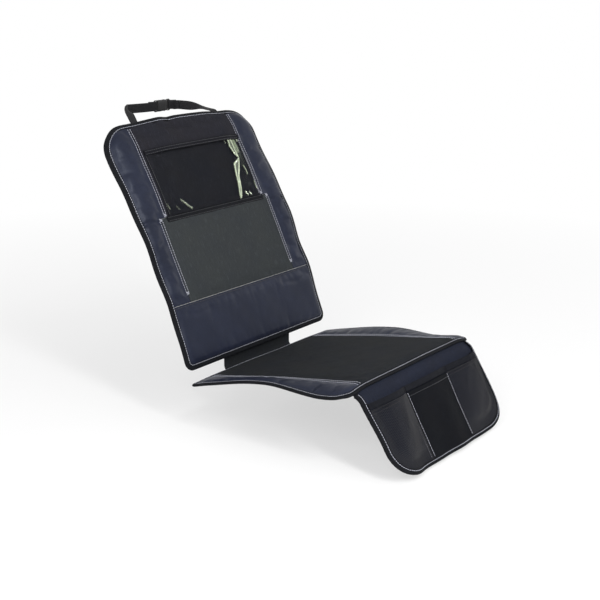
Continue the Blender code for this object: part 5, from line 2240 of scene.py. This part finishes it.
@dataclass
class HeadStrap:
    """The webbing round the headrest posts and its side-release buckle."""

    back: BackSection
    web_width: float = 0.020
    web_thick: float = 0.0018
    spread: float = 0.120
    sewn: float = 0.036
    height: float = 0.519
    rear: float = 0.3095
    post_spacing: float = 0.147
    post_radius: float = 0.007
    bar_loop: float = 0.0036
    socket_bar: float = 0.0128
    plug_bar: float = 0.0582

    def stops(self, side: int, bar: float) -> list[tuple[np.ndarray, np.ndarray]]:
        """The webbing's stops on one side, each a point and a width direction.

        Args:
            side: -1 for the left and 1 for the right.
            bar: Where the buckle's bar is.

        Returns:
            The stops from the sewn end to the tail's end.
        """
        behind = LAYERS.under_high - 0.0008
        across, up = np.array((side, 0.0, 0.0)), np.array((0.0, 0.0, 1.0))
        found = []
        spread = self.spread + (0.009 if side < 0 else 0.0)
        end = self.back.length
        for s in (end - self.sewn, end - LAYERS.lip, end):
            point = self.back.contour.place(np.array([(0.0, s, behind)]))[0]
            found.append((point + across * spread, across))
        wrap = self.rear - self.post_radius - 0.0016
        radius = self.rear - wrap
        post = side * self.post_spacing / 2
        start = found[-1][0]
        lift = 0.003 if side < 0 else -0.002
        hump = np.array((side * 0.006, 0.0, 0.010 if side < 0 else 0.001))
        entry = np.array((post + side * radius, wrap, self.height + lift))
        for share in (0.15, 0.3, 0.45, 0.6, 0.7, 0.8, 0.9, 1.0):
            point = start + (entry - start) * share
            point = point + hump * math.sin(math.pi * share)
            lean = math.pi / 2 * float(smooth(np.array((share - 0.3) / 0.7)))
            found.append((point, across * math.cos(lean) + up * math.sin(lean)))
        for degrees in (25, 50, 75, 90):
            angle = math.radians(degrees)
            x, y = post + side * radius * math.cos(angle), wrap + radius * math.sin(angle)
            found.append((np.array((x, y, self.height + lift)), up))
        for share in (0.35, 0.7):
            x = post + (bar - post) * share
            found.append((np.array((x, self.rear, self.height + lift * (1 - share) ** 1.5)), up))
        for step in range(9):
            angle = math.pi * step / 8 - math.pi / 2
            x = bar - side * self.bar_loop * math.cos(angle)
            y = self.rear + self.bar_loop + self.bar_loop * math.sin(angle)
            found.append((np.array((x, y, self.height)), up))
        close = self.rear + 0.0024
        turned = self.rear + 2 * self.bar_loop - 0.0008
        for reach, y in ((0.004, turned), (0.010, close + 0.0010), (0.016, close), (0.021, close)):
            found.append((np.array((bar + side * reach, y, self.height + lift * reach * 30)), up))
        return found

    def web(self, name: str, side: int, bar: float) -> bpy.types.Object:
        """Weaves one length of webbing."""
        stops = self.stops(side, bar)
        points = np.array([s[0] for s in stops])
        wide = np.array([s[1] for s in stops], dtype=float)
        for _ in range(2):
            points, wide = self.halve(points), self.halve(wide)
        ahead = np.gradient(points, axis=0)
        ahead /= np.linalg.norm(ahead, axis=1)[:, None]
        wide -= ahead * np.sum(wide * ahead, axis=1)[:, None]
        wide /= np.linalg.norm(wide, axis=1)[:, None]
        thick = np.cross(ahead, wide)
        half, deep = self.web_width / 2, self.web_thick / 2
        face = [(-half, 0.0), (-half + 0.0004, -deep * 0.8), (-half * 0.8, -deep)]
        face += [(0.0, -deep), (half * 0.8, -deep), (half - 0.0004, -deep * 0.8)]
        section = face + [(-a, -b) for a, b in face]
        rows = points[:, None, :] + np.array(
            [[w * a + t * b for a, b in section] for w, t in zip(wide, thick)]
        )
        piece = weave_grid(name, rows, False, True)
        shade(piece, 60.0)
        return piece

    @staticmethod
    def halve(values: np.ndarray) -> np.ndarray:
        """Adds a smooth value between each two."""
        before = np.concatenate([values[:1] * 2 - values[1:2], values[:-2]])
        after = np.concatenate([values[2:], values[-1:] * 2 - values[-2:-1]])
        middle = (9 * (values[:-1] + values[1:]) - before - after) / 16
        joined = np.empty((len(values) * 2 - 1, values.shape[1]))
        joined[0::2], joined[1::2] = values, middle
        return joined

    def build(self) -> None:
        """Builds both lengths of webbing."""
        left = self.web("strap_web_left", -1, self.socket_bar)
        hand_over(left, WEBBING, ["strap_left"])
        right = self.web("strap_web_right", 1, self.plug_bar)
        hand_over(right, WEBBING, ["strap_right"], None)
        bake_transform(right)


@dataclass
class Buckle:
    """The side-release buckle. Outlines are in x, from the socket's mouth, and z, from its middle."""

    half: float = 0.0128
    deep: float = 0.0046
    length: float = 0.0240
    wall: float = 0.0018
    side_wall: float = 0.0025
    window: tuple[float, float] = (-0.0150, -0.0045)
    frame_half: float = 0.0128
    frame_deep: float = 0.0017
    slot_half: float = 0.0110
    bar: float = 0.0034
    slot: float = 0.0060
    base: float = 0.0060
    base_half: float = 0.0118
    base_deep: float = 0.0039
    tongue_half: float = 0.0020
    prong_deep: float = 0.0022
    prong_inner: float = 0.0062
    prong_outer: float = 0.0089
    barb: float = 0.0121
    middle: np.ndarray = field(init=False)

    def __post_init__(self) -> None:
        """Finds the middle of the socket's mouth."""
        low, high = (np.array(corner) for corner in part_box("buckle_socket"))
        self.middle = np.array((high[0], (low[1] + high[1]) / 2, (low[2] + high[2]) / 2))

    def slab(
        self, name: str, outline: Sequence[tuple[float, float]], deep: float, edge: float = 0.0
    ) -> bpy.types.Object:
        """Extrudes an outline through the buckle's thickness and rounds its edges.

        Args:
            name: The piece's name.
            outline: Its (x, z) points.
            deep: Half of its thickness.
            edge: The width of its rounded edges.

        Returns:
            The slab.
        """
        deselect()
        bpy.ops.mesh.primitive_circle_add(vertices=len(outline), radius=0.01, fill_type="NGON")
        piece = bpy.context.object
        name_piece(piece, name)
        x, y, z = self.middle
        put_points(piece, np.array([(x + a, y - deep, z + b) for a, b in outline]))
        with editing(piece):
            bpy.ops.mesh.extrude_region_move(TRANSFORM_OT_translate={"value": (0.0, 2 * deep, 0.0)})
            bpy.ops.mesh.select_all(action="SELECT")
            bpy.ops.mesh.normals_make_consistent(inside=False)
        if edge:
            self.bevel(piece, edge, 35)
        return piece

    @staticmethod
    def bevel(piece: bpy.types.Object, width: float, degrees: float) -> None:
        """Rounds the edges of a piece that are sharper than an angle."""
        limit = math.radians(degrees)
        finish_with(piece, "BEVEL", width=width, segments=3, limit_method="ANGLE", angle_limit=limit)

    @staticmethod
    def oblong(start: float, end: float, half: float, corner: float) -> list[tuple[float, float]]:
        """A rectangle's outline from start to end in x, with cut corners."""
        return [
            (start + corner, -half), (end - corner, -half), (end, corner - half), (end, half - corner),
            (end - corner, half), (start + corner, half), (start, half - corner), (start, corner - half),
        ]

    def shell(self, name: str, sections: Sequence[tuple[float, float, float]]) -> bpy.types.Object:
        """Lofts a rounded shell through sections.

        Args:
            name: The piece's name.
            sections: Each section's x, half height and half depth.

        Returns:
            The closed shell.
        """
        turn = np.linspace(0.0, 2 * math.pi, 40, endpoint=False)
        high = np.sign(np.cos(turn)) * np.abs(np.cos(turn)) ** 0.36
        deep = np.sign(np.sin(turn)) * np.abs(np.sin(turn)) ** 0.55
        rows = [
            np.stack([np.full_like(turn, along), deep * depth, high * height], axis=1)
            for along, height, depth in sections
        ]
        return weave_grid(name, np.array(rows) + self.middle, False, True)

    @staticmethod
    def cut(piece: bpy.types.Object, tool: bpy.types.Object, operation: str = "DIFFERENCE") -> None:
        """Cuts a tool out of a piece, or joins it on, and removes the tool."""
        finish_with(piece, "BOOLEAN", object=tool, operation=operation, solver="EXACT")
        bpy.data.objects.remove(tool)

    def loop(self, name: str, start: float, end: float, slot: tuple[float, float]) -> bpy.types.Object:
        """A frame with the slot that the webbing turns through."""
        half = self.frame_half
        piece = self.slab(name, self.oblong(start, end, half, 0.0020), self.frame_deep)
        self.cut(piece, self.slab("slot_tool", self.oblong(*slot, self.slot_half, 0.0006), 0.01))
        self.bevel(piece, 0.0006, 50)
        return piece

    def dress(self, piece: bpy.types.Object, node: str, body: Body) -> None:
        """Shades a piece and hands it over."""
        shade(piece, 40.0)
        hand_over(piece, PLASTIC, [node], body)

    def build_socket(self) -> None:
        """Builds the socket with its cavity, its side windows and its frame."""
        size, half, deep = -self.length, self.half, self.deep
        stops = ((0.0, 0.86, 0.62), (0.0007, 0.95, 0.86), (0.0024, 0.99, 0.97), (0.0080, 1.0, 1.0))
        stops += ((0.0135, 0.975, 1.0), (0.0190, 0.99, 1.0), (0.0222, 1.0, 0.97))
        stops += ((0.0234, 0.98, 0.90), (0.0240, 0.95, 0.80))
        piece = self.shell("buckle_socket_shell", [(size + a, half * b, deep * c) for a, b, c in stops])
        hollow = self.oblong(size + self.wall, 0.004, half - self.side_wall, 0.0010)
        self.cut(piece, self.slab("hollow_tool", hollow, deep - self.wall, 0.0005))
        window = self.oblong(*self.window, 0.02, 0.0005)
        self.cut(piece, self.slab("window_tool", window, deep - self.wall))
        end = size - self.slot - self.bar
        frame_piece = self.loop("socket_frame", end, 0.001 + size, (end + self.bar, size))
        self.cut(piece, frame_piece, "UNION")
        self.dress(piece, "buckle_socket", Body.MAT)

    def build_plug(self) -> None:
        """Builds the plug's shoulder, its guide tongue and its frame."""
        half, deep = self.base_half, self.base_deep
        stops = ((0.0004, 0.93, 0.78), (0.0009, 0.98, 0.93), (0.0022, 1.0, 1.0))
        stops += ((0.0044, 1.0, 1.0), (0.0056, 0.97, 0.90), (0.0060, 0.93, 0.75))
        piece = self.shell("buckle_plug_shell", [(a, half * b, deep * c) for a, b, c in stops])
        tongue = self.oblong(-0.0195, 0.0030, self.tongue_half, 0.0008)
        self.cut(piece, self.slab("tongue", tongue, self.prong_deep * 0.95, 0.0004), "UNION")
        end = self.base + self.slot + self.bar
        frame_piece = self.loop("plug_frame", self.base - 0.001, end, (self.base, end - self.bar))
        self.cut(piece, frame_piece, "UNION")
        self.dress(piece, "buckle_plug", Body.PLUG)

    def build_prong(self, side: int, node: str) -> None:
        """Builds one springy prong, 1 for the upper."""
        inner, outer, barb = self.prong_inner, self.prong_outer, self.barb
        outline = [
            (0.0030, inner), (-0.0170, inner), (-0.0188, inner + 0.0006), (-0.0194, inner + 0.0016),
            (-0.0192, outer - 0.0002), (-0.0175, outer + 0.0006), (-0.0146, barb - 0.0022),
            (-0.0105, barb - 0.0005), (-0.0071, barb), (-0.0056, barb - 0.0001), (-0.0051, barb - 0.0007),
            (-0.0050, outer + 0.0004), (-0.0044, outer), (0.0030, outer),
        ]
        piece = self.slab(f"{node}_arm", [(x, side * z) for x, z in outline], self.prong_deep, 0.0004)
        self.dress(piece, node, Body.PLUG)

    def build(self) -> None:
        """Builds the whole buckle."""
        self.build_socket()
        self.build_plug()
        self.build_prong(1, "buckle_prong_upper")
        self.build_prong(-1, "buckle_prong_lower")


AIM = (0.0, 0.0, 0.25)  # where the lamps point
DIM = 0.66  # the strength of the light from all round


@dataclass
class Studio:
    """The camera, the pale floor and the soft light."""

    azimuth: float = -52.39
    elevation: float = 16.19
    place: tuple[float, float, float] = (-1.912, -1.577, 0.849)
    lens: float = 72.0
    floor: float = -0.098

    def build(self) -> None:
        """Builds the studio."""
        scene = bpy.context.scene
        scene.view_settings.view_transform = "Standard"
        camera = bpy.data.objects.new("camera", bpy.data.cameras.new("camera"))
        scene.collection.objects.link(camera)
        camera.data.lens = self.lens
        camera.data.sensor_width = 36.0
        camera.location = self.place
        azimuth, elevation = math.radians(self.azimuth), math.radians(self.elevation)
        level = math.cos(elevation)
        back = Vector((math.sin(azimuth) * level, -math.cos(azimuth) * level, math.sin(elevation)))
        self.turn_from(camera, back)
        scene.camera = camera
        self.build_floor()
        self.build_world()
        self.lamp("key", (-2.4, -0.9, 1.6), (1.3, 1.3), 32.0)
        self.lamp("front", (-0.6, -2.6, 2.2), (1.8, 1.8), 16.0)
        self.lamp("strip", (-0.85, -2.05, 1.70), (0.30, 1.7), 48.0)
        self.lamp("window", (2.3, -0.9, 0.95), (0.16, 0.16), 3.0)

    @staticmethod
    def turn_from(thing: bpy.types.Object, back: Vector) -> None:
        """Turns a camera's or a lamp's back to a direction."""
        thing.rotation_euler = back.to_track_quat("Z", "Y").to_euler()

    def build_floor(self) -> None:
        """Lays a pale floor that turns white far from the object."""
        deselect()
        bpy.ops.mesh.primitive_plane_add(size=60.0)
        floor = bpy.context.object
        name_piece(floor, "floor")
        points = points_of(floor)
        points[:, 2] = self.floor
        put_points(floor, points)
        g = Graph(bpy.data.materials.new("floor_pale"))
        spot = g.place()
        cloud = g.noise(spot, 1.2, 2.0)
        g.surface(Base_Color=g.mix(cloud, (0.80, 0.80, 0.80), (0.84, 0.84, 0.84)), Roughness=0.9)
        far = g.node("ShaderNodeVectorMath", {"operation": "LENGTH"}, {0: spot}).outputs["Value"]
        seen = Value(g, g.node("ShaderNodeLightPath").outputs["Is Camera Ray"])
        white = g.node("ShaderNodeEmission", None, {"Color": (1.0, 1.0, 1.0), "Strength": 1.0})
        share = seen * (0.55 + Value(g, far).between(0.5, 2.2) * 0.45)
        g.cover(share, g.shader, white)
        floor.data.materials.append(g.owner)

    @staticmethod
    def build_world() -> None:
        """Lights evenly from all round, and shows white to the camera and in gloss."""
        bpy.context.scene.world = bpy.data.worlds.new("studio")
        g = Graph(bpy.context.scene.world)
        path = g.node("ShaderNodeLightPath").outputs
        seen = path["Is Camera Ray"]
        for name in ("Is Glossy Ray", "Is Transmission Ray"):
            seen = g.reckon("MAXIMUM", seen, path[name]).socket
        strength = g.node("ShaderNodeMapRange", None, {"Value": seen, "To Min": DIM, "To Max": 1.0})
        g.surface(Color=(1.0, 1.0, 1.0), Strength=strength.outputs[0])

    @staticmethod
    def lamp(name: str, place: tuple[float, float, float], size: Spot, power: float) -> None:
        """Hangs a soft lamp that points at the object."""
        data = bpy.data.lights.new(name, "AREA")
        data.shape = "RECTANGLE"
        data.size, data.size_y = size
        data.energy = power
        lamp = bpy.data.objects.new(name, data)
        bpy.context.scene.collection.objects.link(lamp)
        lamp.location = place
        Studio.turn_from(lamp, Vector(place) - Vector(AIM))


def main() -> None:
    """Builds the studio and every sub-assembly."""
    logging.basicConfig(level=logging.INFO, format="%(name)s: %(message)s")
    Studio().build()
    back = BackSection()
    seat = SeatSection()
    back.build()
    seat.build()
    Neck(back, seat).build()
    HeadStrap(back).build()
    Buckle().build()
    deselect()


if __name__ == "__main__":
    main()
